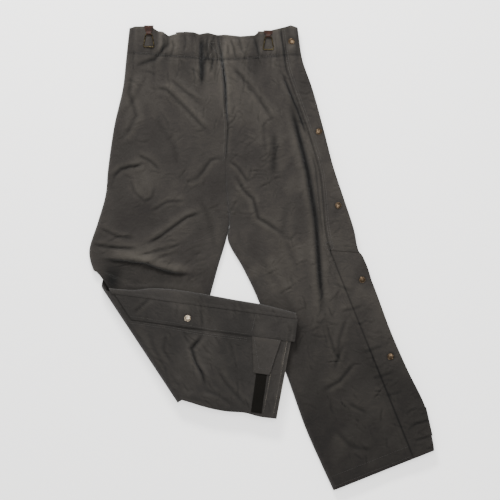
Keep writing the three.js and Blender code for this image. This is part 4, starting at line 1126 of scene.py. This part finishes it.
LOOP_TAPE = hook_material("hook_and_loop_pile", "#060504", 700.0)
HOOK_TAPE = hook_material("hook_and_loop_hooks", "#0A0908", 1100.0)


def tab_relief(xy):
    """The tab follows the leg's creases softly and lies down on the loop patch."""
    move, painted_shade, wear_and_highlight = fold_relief(xy)
    down = (xy - HINGE_A) @ HINGE_DOWN - TAB_START
    # The leg's painted shade carries onto the tab at 0.6 strength; the whole tab is a little paler.
    return move * 0.8 - np.column_stack([down * 0, down * 0, 0.7 * smoothstep(down, 0, 40)]), \
        painted_shade * 0.6, wear_and_highlight + 0.3


grid = hinge_grid((TAB_AT - TAB_ROOT / 2, TAB_AT + TAB_ROOT / 2), (TAB_START, TAB_START + TAB_LONG),
                  Z_LOW_FLAP + 0.2, (18, 22), (0.7, 0.5), TAB_TIP / TAB_ROOT)
tab = make_sheet("right_cuff_tab_cloth", grid, np.ones(grid.shape[:2]), CLOTH, LOWER_CANVAS,
                 (tab_relief, no_relief))
settle(tab, "right_tab", ["right_cuff_tab"])

PATCH_WIDE = 25.0
tip = TAB_START + TAB_LONG
grid = hinge_grid((TAB_AT - PATCH_WIDE / 2, TAB_AT + PATCH_WIDE / 2), (tip - 50, tip - 3),
                  Z_LOW_FLAP - 1.2, (8, 14), (0.1, 0.1))
hooks = make_sheet("right_hook_tape", grid, np.ones(grid.shape[:2]), 0.9, HOOK_TAPE,
                   (tab_relief, no_relief))
settle(hooks, "right_tab", ["right_hook_patch"])
grid = hinge_grid((TAB_AT - PATCH_WIDE / 2, TAB_AT + PATCH_WIDE / 2),
                  (TAB_START + 34, TAB_START + 176), folded(Z_BACK) + 1.15, (8, 36), (0.2, 0.2))
loops = make_sheet("right_loop_tape", grid, np.ones(grid.shape[:2]), 0.95, LOOP_TAPE,
                   (fold_relief, no_relief))
settle(loops, "right_lower_leg", ["right_loop_patch"])

# %% [markdown]
# The left cuff tab hangs from the flap's side of the leg: it goes down past the outer edge and
# under the leg, with its hook patch and the loop patch between it and the back cloth.

# %% Left cuff tab and its patches
TAB_WAY = (LEFT_OUTER[13] - LEFT_OUTER[12]) / np.linalg.norm(LEFT_OUTER[13] - LEFT_OUTER[12])
TAB_IN = np.array([TAB_WAY[1], -TAB_WAY[0]])
TAB_SPOT = drawn([(391.5, -384.5)])[0]


def edge_grid(half_wide, path, steps, tip=None):
    """A strip that runs in from the outer edge. path holds (p, z); tip narrows it to a share."""
    path = np.array(path, float)
    run = run_along(path)
    at = np.linspace(0, run[-1], steps[1] + 1)
    line = np.column_stack([np.interp(at, run, path[:, 0]), np.interp(at, run, path[:, 1])])
    grid = np.zeros((steps[0] + 1, steps[1] + 1, 3))
    for i, s in enumerate(np.linspace(-half_wide, half_wide, steps[0] + 1)):
        for j, (p, z) in enumerate(line):
            narrow = 1 if tip is None else 1 - max(0.0, (p - 4) / (path[-1, 0] - 4)) * (1 - tip)
            grid[i, j, :2] = TAB_SPOT + TAB_WAY * s * narrow + TAB_IN * p
            grid[i, j, 2] = z
    return grid


round_edge = [(-1.0, 17.9), (-1.5, 15.8), (-1.8, 13.0), (-1.8, 9.5), (-1.5, 6.2), (-0.4, 3.9),
              (1.6, 2.6), (4.5, 2.2), (40, 2.2), (TAB_LONG, 2.0)]
for name, grid, thick, paint, body, node, slot in (
        ("left_cuff_tab_cloth", edge_grid(TAB_ROOT / 2, round_edge, (16, 26), TAB_TIP / TAB_ROOT),
         CLOTH, LOWER_CANVAS, "left_tab", "left_cuff_tab", "canvas_lower"),
        ("left_hook_tape", edge_grid(PATCH_WIDE / 2, [(TAB_LONG - 50, 3.3), (TAB_LONG - 3, 3.3)],
                                     (6, 14)),
         0.9, HOOK_TAPE, "left_tab", "left_hook_patch", "hook_and_loop"),
        ("left_loop_tape", edge_grid(PATCH_WIDE / 2, [(20, 4.6), (176, 4.6)], (6, 36)),
         0.95, LOOP_TAPE, "garment", "left_loop_patch", "hook_and_loop")):
    piece = make_sheet(name, grid, np.zeros(grid.shape[:2]), thick, paint,
                       (no_relief, no_relief))
    settle(piece, body, [node])

# %% [markdown]
# ## Waist and hems, inside
# The waist is a casing: the panels outside, a facing inside, and an elastic between them that
# gathers both. Each is a closed band, so its rows go round the waist and its columns go down.
# The facing's upper edge is turned out to meet the panel, which closes the casing.

# %% Waist facing, elastic and hem facings
def waist_loop(level, inset, step=6.0):
    """Points (x, z, top) once round the inside of the waist, counted from the left end."""
    low, high = 6.5 + level, 16.9 - level
    high_right = min(high, 14.7 - level)
    left, right = -310.0 + inset, 84.5 - inset
    corner = [(left + 5, low, 0), (left + 1.4, low + 0.9, 0.1), (left, (low + high) / 2, 0.5),
              (left + 1.4, high - 0.9, 0.9), (left + 5, high, 1)]
    front = [(x, high, 1) for x in np.arange(left + 5 + step, 26, step)]
    drop = [(30, high, 1), (36, high_right, 1)]
    flank = [(x, high_right, 1) for x in np.arange(36 + step, right - 6, step)]
    c = (high_right - low) / 2
    turn = [(right - 3, high_right, 1), (right, low + c, 0.5), (right - 3, low, 0)]
    back = [(x, low, 0) for x in np.arange(right - 3 - step, left + 5 + step * 0.5, -step)]
    return corner + front + drop + flank + turn + back


def band_grid(loop, drops):
    """One row for each drop below the waist edge, and each row goes once round the loop."""
    grid = np.zeros((len(drops), len(loop) + 1, 3))
    top = np.zeros(grid.shape[:2])
    for j, (drop, flare) in enumerate(drops):
        for k in range(len(loop) + 1):
            x, z, share = loop[k % len(loop)]
            grid[j, k] = (x, plain_waist(x) - drop, z + flare * (2 * share - 1))
            top[j, k] = share
    return grid, top


facing_drops = [(0.6, 1.9), (1.6, 1.2), (4, 0.2), (8, 0)] + [(d, 0) for d in range(13, 62, 6)]
grid, top = band_grid(waist_loop(2.5, 6.4, 4.0), facing_drops)
facing = make_sheet("waist_facing_cloth", grid, top, 0.8, TAPE_CANVAS,
                    (front_relief, back_relief))
settle(facing, "garment", ["waist_facing"])


def elastic_material():
    """Knitted elastic: off-white, ribbed along its length every 2 mm by the rubber cores."""
    material, tree, shader = new_material("elastic_knitted", "#CFC8B8", 0.9)
    uv = add_node(tree, "ShaderNodeUVMap", {"uv_map": "cloth"}).outputs["UV"]
    ribs = add_node(tree, "ShaderNodeTexWave", {"bands_direction": "Y"}, {"Vector": uv},
                    Scale=WAVE_UNIT / 0.002, Distortion=0.6)
    tone = add_node(tree, "ShaderNodeValToRGB", links={"Fac": ribs.outputs["Fac"]},
                    stops=[(0.2, "#A89F8E"), (0.7, "#D6CFC0")])
    tree.links.new(tone.outputs["Color"], shader.inputs["Base Color"])
    bump = add_node(tree, "ShaderNodeBump", links={"Height": ribs.outputs["Fac"]},
                    Strength=0.6, Distance=0.0005)
    tree.links.new(bump.outputs[0], shader.inputs["Normal"])
    return material


def under_front(xy):
    """The front's folds, pressed down a little, so the band stays inside its casing."""
    move, painted_shade, wear_and_highlight = front_relief(xy)
    move[:, 2] = np.minimum(move[:, 2], 0) * 1.15 - 1.0
    return move, painted_shade, wear_and_highlight


grid, top = band_grid(waist_loop(1.35, 3.4, 3.0), [(d, 0) for d in range(5, 53, 4)])
elastic = make_sheet("waist_elastic_band", grid, top, 0.8, elastic_material(),
                     (under_front, back_relief))
settle(elastic, "garment", ["waist_elastic"])


def hem_grid(outer, inner, make, deep=38.0):
    """The last 38 mm of a leg, measured on its middle line, with a closed section."""
    last = len(outer) - 1
    places = even_places(outer, inner, 2.0)
    middle = (curve_through(outer, places) + curve_through(inner, places)) / 2
    left = np.linalg.norm(middle - middle[-1], axis=1)
    first = places[int(np.argmin(np.abs(left - deep)))]
    end = places[int(np.argmin(np.abs(left - 1.0)))]
    rows, tops = [], []
    for t in np.linspace(first, end, 8):
        o, way, width = row_at(outer, inner, t)
        line = sample_section(make(o, way, width), (8, 6, 20, 6, 20))
        rows.append(np.column_stack([o + line[:, :1] * way, line[:, 1]]))
        tops.append(line[:, 2])
    return np.array(rows), np.array(tops)


def left_hem_section(o, way, width):
    root = left_root(o, way, width)
    low, high, under = 7.1, 16.2, 14.1
    turned = turned_edge(low, under, 0, 1, 10.0, 8)
    turned = [(p + 3.2, z, s) for p, z, s in turned]
    return (turned, [(13.2, under, 1), (root + 7, under, 1), (root + 12, high, 1)],
            [(root + 12, high, 1), (width - 18, high, 1)],
            [(width - 18, high, 1), (width - 10, 12.4, 0.6), (width - 7, low, 0)],
            [(width - 7, low, 0), (13.2, low, 0)])


def right_hem_section(o, way, width):
    low, high = folded(16.2), folded(7.1)
    turned = [(p + 3.6, z, s) for p, z, s in turned_edge(low, high, 0, 1, 10.0, 8)]
    return (turned, [(13.6, high, 1), (26, high, 1)], [(26, high, 1), (width - 9, high, 1)],
            [(width - 9, high, 1), (width - 11, 24.0, 0.5), (width - 18, low, 0)],
            [(width - 18, low, 0), (13.6, low, 0)])


for name, outer, inner, section, reliefs, body, node in (
        ("left_hem_facing_cloth", LEFT_OUTER, LEFT_INNER, left_hem_section,
         (front_relief, back_relief), "garment", "left_hem_facing"),
        ("right_hem_facing_cloth", FOLD_OUTER, FOLD_INNER, right_hem_section,
         (fold_relief, no_relief), "right_lower_leg", "right_hem_facing")):
    grid, top = hem_grid(outer, inner, section)
    hem = make_sheet(name, grid, top, 0.8, TAPE_CANVAS, reliefs)
    settle(hem, body, [node])

# %% [markdown]
# ## Stitching
# A topstitch is a short loop of thread that dips into the cloth at both ends. One stitch is
# modelled as a small bar with six sides, and then it is copied along each seam, with
# its own height found on the cloth under it.

# %% Thread and seams
def thread_material(name, colour, paler_tone):
    """Spun polyester thread, slightly glossier than the canvas and faded like it."""
    material, tree, shader = new_material(name, colour, 0.7)
    place = add_node(tree, "ShaderNodeTexCoord").outputs["Object"]
    age = add_node(tree, "ShaderNodeTexNoise", links={"Vector": place}, Scale=60.0, Detail=3.0)
    tone = add_node(tree, "ShaderNodeValToRGB", links={"Fac": age.outputs["Fac"]},
                    stops=[(0.45, colour), (0.72, paler_tone)])
    tree.links.new(tone.outputs["Color"], shader.inputs["Base Color"])
    shader.inputs["Sheen Weight"].default_value = 0.15
    return material


THREAD_DARK = thread_material("thread_spun_polyester_dark", "#1C1A18", "#3C3832")
THREAD_FADED = thread_material("thread_spun_polyester_faded", "#433F38", "#9A917F")


def model_stitch():
    """A bar 1 long and 1 thick along X: a cylinder whose two ends are drawn in and bent down."""
    bpy.ops.mesh.primitive_cylinder_add(vertices=6, radius=0.5, depth=1.0,
                                        rotation=(0, math.pi / 2, 0))
    bar = bpy.context.active_object
    bpy.ops.object.transform_apply(location=True, rotation=True, scale=True)
    bpy.ops.object.mode_set(mode="EDIT")
    bpy.ops.mesh.select_all(action="SELECT")
    bpy.ops.mesh.bisect(plane_co=(-0.28, 0, 0), plane_no=(1, 0, 0))
    bpy.ops.mesh.select_all(action="SELECT")
    bpy.ops.mesh.bisect(plane_co=(0.28, 0, 0), plane_no=(1, 0, 0))
    bpy.ops.object.mode_set(mode="OBJECT")
    points = np.array([v.co for v in bar.data.vertices])
    faces = [tuple(p.vertices) for p in bar.data.polygons]
    bpy.data.objects.remove(bar)
    ends = np.abs(points[:, 0]) > 0.4
    points[ends, 1:] *= 0.45
    points[ends, 2] -= 0.55
    return points, faces


STITCH_POINTS, STITCH_FACES = model_stitch()


def height_of(piece_bvh, xy, fallback):
    hit = piece_bvh.ray_cast((xy[0] * MM, xy[1] * MM, 0.09), (0, 0, -1))
    return hit[0][2] / MM if hit[0] is not None else fallback


def sew(name, seams, cloths, body, material=None, pitch=4.2, long=3.1, thick=0.62):
    """Runs stitches along each line of points, lying on the highest of the cloths named."""
    trees = [BVHTree.FromPolygons([v.co for v in c.data.vertices],
                                  [tuple(p.vertices) for p in c.data.polygons]) for c in cloths]
    points, faces = [], []
    for seam in seams:
        seam = np.array(seam, float)
        run = run_along(seam)
        for s in np.arange(pitch / 2, run[-1] - pitch / 2, pitch):
            ends = [np.array([np.interp(s + d, run, seam[:, k]) for k in range(2)])
                    for d in (-long / 2, long / 2)]
            heights = []
            for end in ends:
                found = [height_of(tree, end, -99) for tree in trees]
                heights.append(max(found))
            if min(heights) < -50 or abs(heights[0] - heights[1]) > 3:
                continue
            a = np.array([*ends[0], heights[0]])
            b = np.array([*ends[1], heights[1]])
            x = (b - a) / np.linalg.norm(b - a)
            y = np.cross((0, 0, 1), x)
            y /= np.linalg.norm(y)
            z = np.cross(x, y)
            body_points = (a + b) / 2 + (STITCH_POINTS[:, :1] * long * x
                                         + STITCH_POINTS[:, 1:2] * thick * y
                                         + STITCH_POINTS[:, 2:] * thick * z) + z * thick * 0.25
            base = len(points)
            points.extend(body_points.tolist())
            faces.extend(tuple(base + v for v in face) for face in STITCH_FACES)
    mesh = bpy.data.meshes.new(name)
    mesh.from_pydata([[c * MM for c in p] for p in points], [], faces)
    mesh.polygons.foreach_set("use_smooth", [True] * len(mesh.polygons))
    piece = bpy.data.objects.new(name, mesh)
    bpy.context.scene.collection.objects.link(piece)
    mesh.materials.append(material or THREAD_DARK)
    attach(piece, body)
    print(f"{name}: {len(points) // len(STITCH_POINTS)} stitches")
    return piece


def beside(line, away, start=0.0, end=1.0):
    """A line shifted sideways (left is positive), cut to a share of its length."""
    line = np.array(line, float)
    way = np.gradient(line, axis=0)
    way /= np.linalg.norm(way, axis=1)[:, None]
    moved = line + away * np.column_stack([-way[:, 1], way[:, 0]])
    n = len(moved)
    return moved[int(start * (n - 1)):int(end * (n - 1)) + 1]


def hem_line(outer, inner, up, ends=(4.0, 4.0)):
    """A line across the leg, 'up' millimetres above its hem."""
    a, b = np.array(outer[-1]), np.array(inner[-1])
    back_a = (np.array(outer[-2]) - a) / np.linalg.norm(np.array(outer[-2]) - a)
    back_b = (np.array(inner[-2]) - b) / np.linalg.norm(np.array(inner[-2]) - b)
    a, b = a + back_a * up, b + back_b * up
    way = (b - a) / np.linalg.norm(b - a)
    share = np.linspace(0, 1, 40)[:, None]
    return (a + way * ends[0]) * (1 - share) + (b - way * ends[1]) * share


def waist_line(drop, x_from, x_to):
    xs = np.linspace(x_from, x_to, 90)
    wave, _ = waist_wave(np.column_stack([xs, plain_waist(xs) - drop]))
    return np.column_stack([xs, plain_waist(xs) - drop + wave])


centre = smooth_line(LEFT_INNER[:5])
left_seams = [beside(LEFT_ROOT_LINE, 5.0, 0.02, 0.97), beside(LEFT_ROOT_LINE, 9.6, 0.02, 0.97),
              waist_line(CASING, -300, 42), waist_line(CASING - 2.6, -300, 42),
              hem_line(LEFT_OUTER, LEFT_INNER, 8, (60, 6)), hem_line(LEFT_OUTER, LEFT_INNER, 32, (60, 6)),
              beside(centre, -4.5), beside(centre, -9.0),
              [(-124, 507), (-96, 504), (-93, 467), (-127, 470), (-124, 507)],
              [(-124, 507), (-93, 467)], [(-96, 504), (-127, 470)]]
pieces = bpy.data.objects
sew("body_topstitching", left_seams,
    [left_front, thigh_front, pieces["left_flap_root_strip"], pieces["left_flap_upper_cloth"]],
    "garment")

# %% [markdown]
# The folded leg has two rows beside the flap's free edge. The flap has a row inside that edge
# and a short row across it, and the cuff tab has a row all round. The two hem rows are worn, so
# their raised thread has lost its dye.

# %% Stitching on the folded leg
FREE_EDGE = [(-320, -137.5), (-284, -142), (-211, -153), (-146, -165), (-103, -171), (-32, -180)]
fold_cloths = [back_cloth, pieces["right_flap_lower_strip"]]
sew("folded_leg_topstitching",
    [beside(FREE_EDGE, -7.0), beside(FREE_EDGE, -11.5)], fold_cloths, "right_lower_leg")
sew("folded_flap_topstitching",
    [beside(FREE_EDGE, 4.0, 0.1), [(-20, -96), (-14, -130), (-24, -172)]],
    [pieces["right_flap_lower_cloth"]], "right_flap")
sew("folded_tab_topstitching",
    [[(-19, -179), (42, -193), (21, -258), (-6, -257), (-19, -179)]],
    [pieces["right_cuff_tab_cloth"]], "right_tab")
sew("folded_hem_topstitching",
    [hem_line(FOLD_OUTER, FOLD_INNER, 9, (14, 8)), hem_line(FOLD_OUTER, FOLD_INNER, 33, (14, 8))],
    [back_cloth], "right_lower_leg", THREAD_FADED)

# %% [markdown]
# ## Hardware
# The suspender fittings at the waist are short leather straps, folded round the top bar of a
# flat-bottomed wire ring. First come their finishes: leather, oxidised brass wire, and the
# nickel of the snaps. The folded leg's snap gets the brighter nickel; the left snaps get a dark
# brown copy of it, which is partly worn plating and partly painted dark reflection.

# %% Leather and metals
def leather_material():
    """Vegetable-tanned strap leather: a pebbled grain about 1 mm wide, paler in patches."""
    material, tree, shader = new_material("leather_strap_worn", "#1E0F09", 0.6)
    place = add_node(tree, "ShaderNodeTexCoord").outputs["Object"]
    grain = add_node(tree, "ShaderNodeTexVoronoi", links={"Vector": place}, Scale=900.0)
    stain = add_node(tree, "ShaderNodeTexNoise", links={"Vector": place}, Scale=120.0, Detail=4.0)
    tone = add_node(tree, "ShaderNodeValToRGB", links={"Fac": stain.outputs["Fac"]},
                    stops=[(0.3, "#130A06"), (0.52, "#26120A"), (0.8, "#3E2214")])
    tree.links.new(tone.outputs["Color"], shader.inputs["Base Color"])
    gloss = add_node(tree, "ShaderNodeValToRGB", links={"Fac": stain.outputs["Fac"]},
                     stops=[(0.3, 0.42), (0.8, 0.68)])
    tree.links.new(gloss.outputs["Color"], shader.inputs["Roughness"])
    bump = add_node(tree, "ShaderNodeBump", links={"Height": grain.outputs["Distance"]},
                    Strength=0.4, Distance=0.0001)
    tree.links.new(bump.outputs[0], shader.inputs["Normal"])
    shader.inputs["Specular IOR Level"].default_value = 0.12
    return material


def metal_material(name, clean, tarnish, roughness, amount):
    """Plated or bare metal with tarnish in cloudy spots about 4 mm wide."""
    material, tree, shader = new_material(name, clean, roughness, 1.0)
    place = add_node(tree, "ShaderNodeTexCoord").outputs["Object"]
    spots = add_node(tree, "ShaderNodeTexNoise", links={"Vector": place}, Scale=250.0, Detail=5.0,
                     Roughness=0.7)
    tone = add_node(tree, "ShaderNodeValToRGB", links={"Fac": spots.outputs["Fac"]},
                    stops=[(0.5 - amount, clean), (0.62, tarnish)])
    tree.links.new(tone.outputs["Color"], shader.inputs["Base Color"])
    dull = add_node(tree, "ShaderNodeValToRGB", links={"Fac": spots.outputs["Fac"]},
                    stops=[(0.4, roughness), (0.7, min(1.0, roughness + 0.3))])
    tree.links.new(dull.outputs["Color"], shader.inputs["Roughness"])
    bump = add_node(tree, "ShaderNodeBump", links={"Height": spots.outputs["Fac"]},
                    Strength=0.25, Distance=0.0002)
    tree.links.new(bump.outputs[0], shader.inputs["Normal"])
    return material


LEATHER = leather_material()
BRASS = metal_material("brass_oxidised_wire", "#4F4630", "#17130C", 0.42, 0.10)
NICKEL = metal_material("nickel_plate_polished", "#8F8474", "#4E4438", 0.22, 0.02)
# A dark brown copy of the nickel: partly worn plating, partly painted dark reflection.
NICKEL_DULL = metal_material("nickel_tarnished_and_painted_dark_reflection", "#4E4234", "#2A2119", 0.2, 0.12)
print("metals and leather ready")

# %% [markdown]
# A snap cap is a pressed dome with a rolled rim. One is made from a small circle that is
# extruded and resized ring by ring, so that each ring of edges is one step of its profile. Its
# doubles are merged, and it is then copied to each snap.

# %% Snap caps
# Radius and height of each ring, in millimetres, from the foot up to the crown.
CAP_PROFILE = [(2.0, -1.3), (2.0, 0.12), (6.4, 0.08), (7.1, 0.10), (7.45, 0.28), (7.5, 0.50),
               (7.3, 0.72), (6.9, 0.80), (6.5, 0.72), (6.2, 0.74), (5.4, 1.02), (4.2, 1.26),
               (2.8, 1.40), (1.3, 1.46)]


def model_cap():
    radius, height = CAP_PROFILE[0]
    bpy.ops.mesh.primitive_circle_add(vertices=40, radius=radius * MM, fill_type="NGON",
                                      location=(0, 0, height * MM))
    cap = bpy.context.active_object
    bpy.ops.object.transform_apply(location=True)
    bpy.ops.object.mode_set(mode="EDIT")
    bpy.ops.mesh.select_all(action="SELECT")
    for (r0, z0), (r1, z1) in zip(CAP_PROFILE[:-1], CAP_PROFILE[1:]):
        bpy.ops.mesh.extrude_region_move(TRANSFORM_OT_translate={"value": (0, 0, (z1 - z0) * MM)})
        share = r1 / r0
        bpy.ops.transform.resize(value=(share, share, 1), center_override=(0, 0, z1 * MM))
    bpy.ops.mesh.select_all(action="SELECT")
    bpy.ops.mesh.remove_doubles(threshold=1e-6)
    bpy.ops.mesh.normals_make_consistent(inside=False)
    bpy.ops.object.mode_set(mode="OBJECT")
    return cap


def place_copy(model, name, place, tilt, material, body, nodes):
    """A copy of a model with its own mesh, its place kept in the mesh."""
    piece = bpy.data.objects.new(name, model.data.copy())
    bpy.context.scene.collection.objects.link(piece)
    turn = Matrix.Rotation(math.radians(tilt[0]), 4, "X") @ Matrix.Rotation(
        math.radians(tilt[1]), 4, "Y")
    piece.data.transform(Matrix.Translation(Vector(place)) @ turn)
    piece.data.materials.clear()
    piece.data.materials.append(material)
    work_on(piece)
    bpy.ops.object.shade_smooth_by_angle(angle=math.radians(40))
    settle(piece, body, nodes)
    return piece


CAP_SEAT = 19.95              # the height that a cap's rim rests at, on the flap
FOLDED_CAP_SEAT = folded(1.7) + 0.4
cap_model = model_cap()
tilts = [(3, -4), (4, 6), (-3, 5), (5, 3), (2, -5)]
for i, spot in enumerate(LEFT_SNAPS):
    place_copy(cap_model, f"left_snap_{i + 1}_dome", (spot[0] * MM, spot[1] * MM, CAP_SEAT * MM),
               tilts[i], NICKEL_DULL, "left_flap" if i > 2 else "garment",
               [f"left_snap_{i + 1}_cap"])
place_copy(cap_model, "right_snap_5_dome",
           (RIGHT_SNAP[0] * MM, RIGHT_SNAP[1] * MM, FOLDED_CAP_SEAT * MM), (0, 0), NICKEL,
           "right_flap", ["right_snap_5_cap"])
bpy.data.objects.remove(cap_model)

# %% [markdown]
# A snap's socket, stud and post are small turned parts that are mostly hidden in the cloth. The
# CAD's own shapes are right, so they only take the dark brown nickel of the left snaps.

# %% Sockets, studs and posts
hidden_parts = [n for n in frame["nodes"].values() if "snap" in n.name and "cap" not in n.name]
for node in hidden_parts:
    node.data.materials.clear()
    node.data.materials.append(NICKEL_DULL)
print(len(hidden_parts), "hidden snap parts painted")

# %% [markdown]
# Each ring swings on its strap, so the wire is a piece of its own on the ring's body, and the
# strap stays with the garment. The wire starts as the four edges of a plane, whose corners are
# bevelled in edit mode. The Skin modifier would make it square, so the loop is turned into a
# curve, given the wire's radius as its bevel depth, and turned back into a mesh.

# %% Rings
WIRE_RADIUS = 0.0012
TOP_BAR_HALF = 0.0072
CORNER_CUT = 0.0042


def ring_path(node):
    """The wire's path, from the CAD ring's own box: a short top bar and a long bottom bar."""
    low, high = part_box(node)
    middle = (low.x + high.x) / 2
    top, bottom = high.y - WIRE_RADIUS, low.y + WIRE_RADIUS
    z_top, z_bottom = high.z - WIRE_RADIUS, low.z + WIRE_RADIUS
    a, b = TOP_BAR_HALF, high.x - WIRE_RADIUS - middle
    return [(middle - a, top, z_top), (middle + a, top, z_top),
            (middle + b, bottom, z_bottom), (middle - b, bottom, z_bottom)]


def model_ring(node, name, body):
    corners = ring_path(node)
    bpy.ops.mesh.primitive_plane_add(size=0.02)
    wire = bpy.context.active_object
    for vertex, corner in zip([wire.data.vertices[i] for i in (2, 3, 1, 0)], corners):
        vertex.co = corner
    bpy.ops.object.mode_set(mode="EDIT")
    bpy.ops.mesh.select_all(action="SELECT")
    bpy.ops.mesh.delete(type="ONLY_FACE")
    bpy.ops.mesh.select_all(action="SELECT")
    bpy.ops.mesh.bevel(offset=CORNER_CUT, segments=6, affect="VERTICES")
    bpy.ops.object.mode_set(mode="OBJECT")
    work_on(wire)
    bpy.ops.object.convert(target="CURVE")
    wire = bpy.context.active_object
    wire.data.bevel_depth = WIRE_RADIUS
    wire.data.bevel_resolution = 4
    wire.data.use_fill_caps = False
    bpy.ops.object.convert(target="MESH")
    wire = bpy.context.active_object
    wire.name = name
    bpy.ops.object.mode_set(mode="EDIT")
    bpy.ops.mesh.select_all(action="SELECT")
    bpy.ops.mesh.remove_doubles(threshold=1e-6)
    bpy.ops.mesh.normals_make_consistent(inside=False)
    bpy.ops.object.mode_set(mode="OBJECT")
    bpy.ops.object.shade_smooth_by_angle(angle=math.radians(60))
    wire.data.materials.clear()
    wire.data.materials.append(BRASS)
    bpy.ops.object.transform_apply(location=True, rotation=True, scale=True)
    settle(wire, body, [node])
    return wire


ring_places = [(place, side) for place in ("front", "rear") for side in ("right", "left")]
for place, side in ring_places:
    model_ring(f"{place}_{side}_ring", f"{place}_{side}_ring_wire", f"{place}_{side}_ring_body")

# %% [markdown]
# Each strap is a sheet of leather 22 mm wide. It runs up inside the waist, over the edge and
# down to the ring, narrows to 11 mm, goes round the ring's top bar and comes back on itself.

# %% Straps
LAYERS_MIDDLE = 23.6 / 2      # the rear straps mirror the front ones about this height
FRAME_DROP = -0.096           # from the drawing's floor to the frame's


def strap_grid(x, bar, rear):
    waist = np.array(WAIST_LINE, float)
    top, yc = float(np.interp(x, waist[:, 0], waist[:, 1])) + 0.8, bar
    path = [(top - 32, 13.25), (top - 5, 13.25), (top - 0.6, 13.6), (top + 0.9, 16.1),
            (top - 0.6, 18.6), (top - 5, 18.95), (yc + 4, 18.95)]
    path += [(yc + 2.0 * math.sin(a), 20.95 - 2.0 * math.cos(a))
             for a in np.radians([0, -40, -80, -120, -160, -200, -235])]
    path += [(yc + 4.4, 20.5), (yc + 7.5, 20.1), (yc + 11.5, 20.1)]
    path = np.array(path)
    if rear:
        path[:, 1] = 2 * LAYERS_MIDDLE - path[:, 1]
    run = run_along(path)
    at = np.linspace(0, run[-1], 60)
    line = np.column_stack([np.interp(at, run, path[:, k]) for k in range(2)])
    bend = np.interp(at, run, np.arange(len(path)))
    half = np.interp(bend, [0, 4, 5, 6.4, 20], [10.8, 10.8, 10.0, 5.4, 5.3])
    across = np.linspace(-1, 1, 9)
    grid = np.zeros((len(line), 9, 3))
    grid[:, :, 0] = x + half[:, None] * across
    grid[:, :, 1], grid[:, :, 2] = line[:, :1], line[:, 1:]
    grid[:, :, 2] += FRAME_DROP
    return grid, np.zeros(grid.shape[:2])


for place, side in ring_places:
    pivot, _ = joint_place(f"{place}_{side}_ring_swing")
    grid, top = strap_grid(pivot[0] / MM, pivot[1] / MM, place == "rear")
    strap = make_sheet(f"{place}_{side}_strap_leather", grid, top, 1.0, LEATHER,
                       (no_relief, no_relief))
    settle(strap, "garment", [f"{place}_{side}_strap"])

# %% [markdown]
# ## Finishing
# The floor is a plain pale sheet, lit from behind like a light table, a little below the
# trousers' lowest point.

# %% Floor and finish
FLOOR_GAP = 0.0006
bpy.ops.mesh.primitive_plane_add(size=30, location=(0, 0, -FLOOR_GAP))
floor = bpy.context.active_object
floor.name = "floor"
paper, _, paper_shader = new_material("painted_floor", "#F4F3F1", 0.9)
paper_shader.inputs["Emission Color"].default_value = linear("#FFFFFF")
paper_shader.inputs["Emission Strength"].default_value = 0.9
floor.data.materials.append(paper)
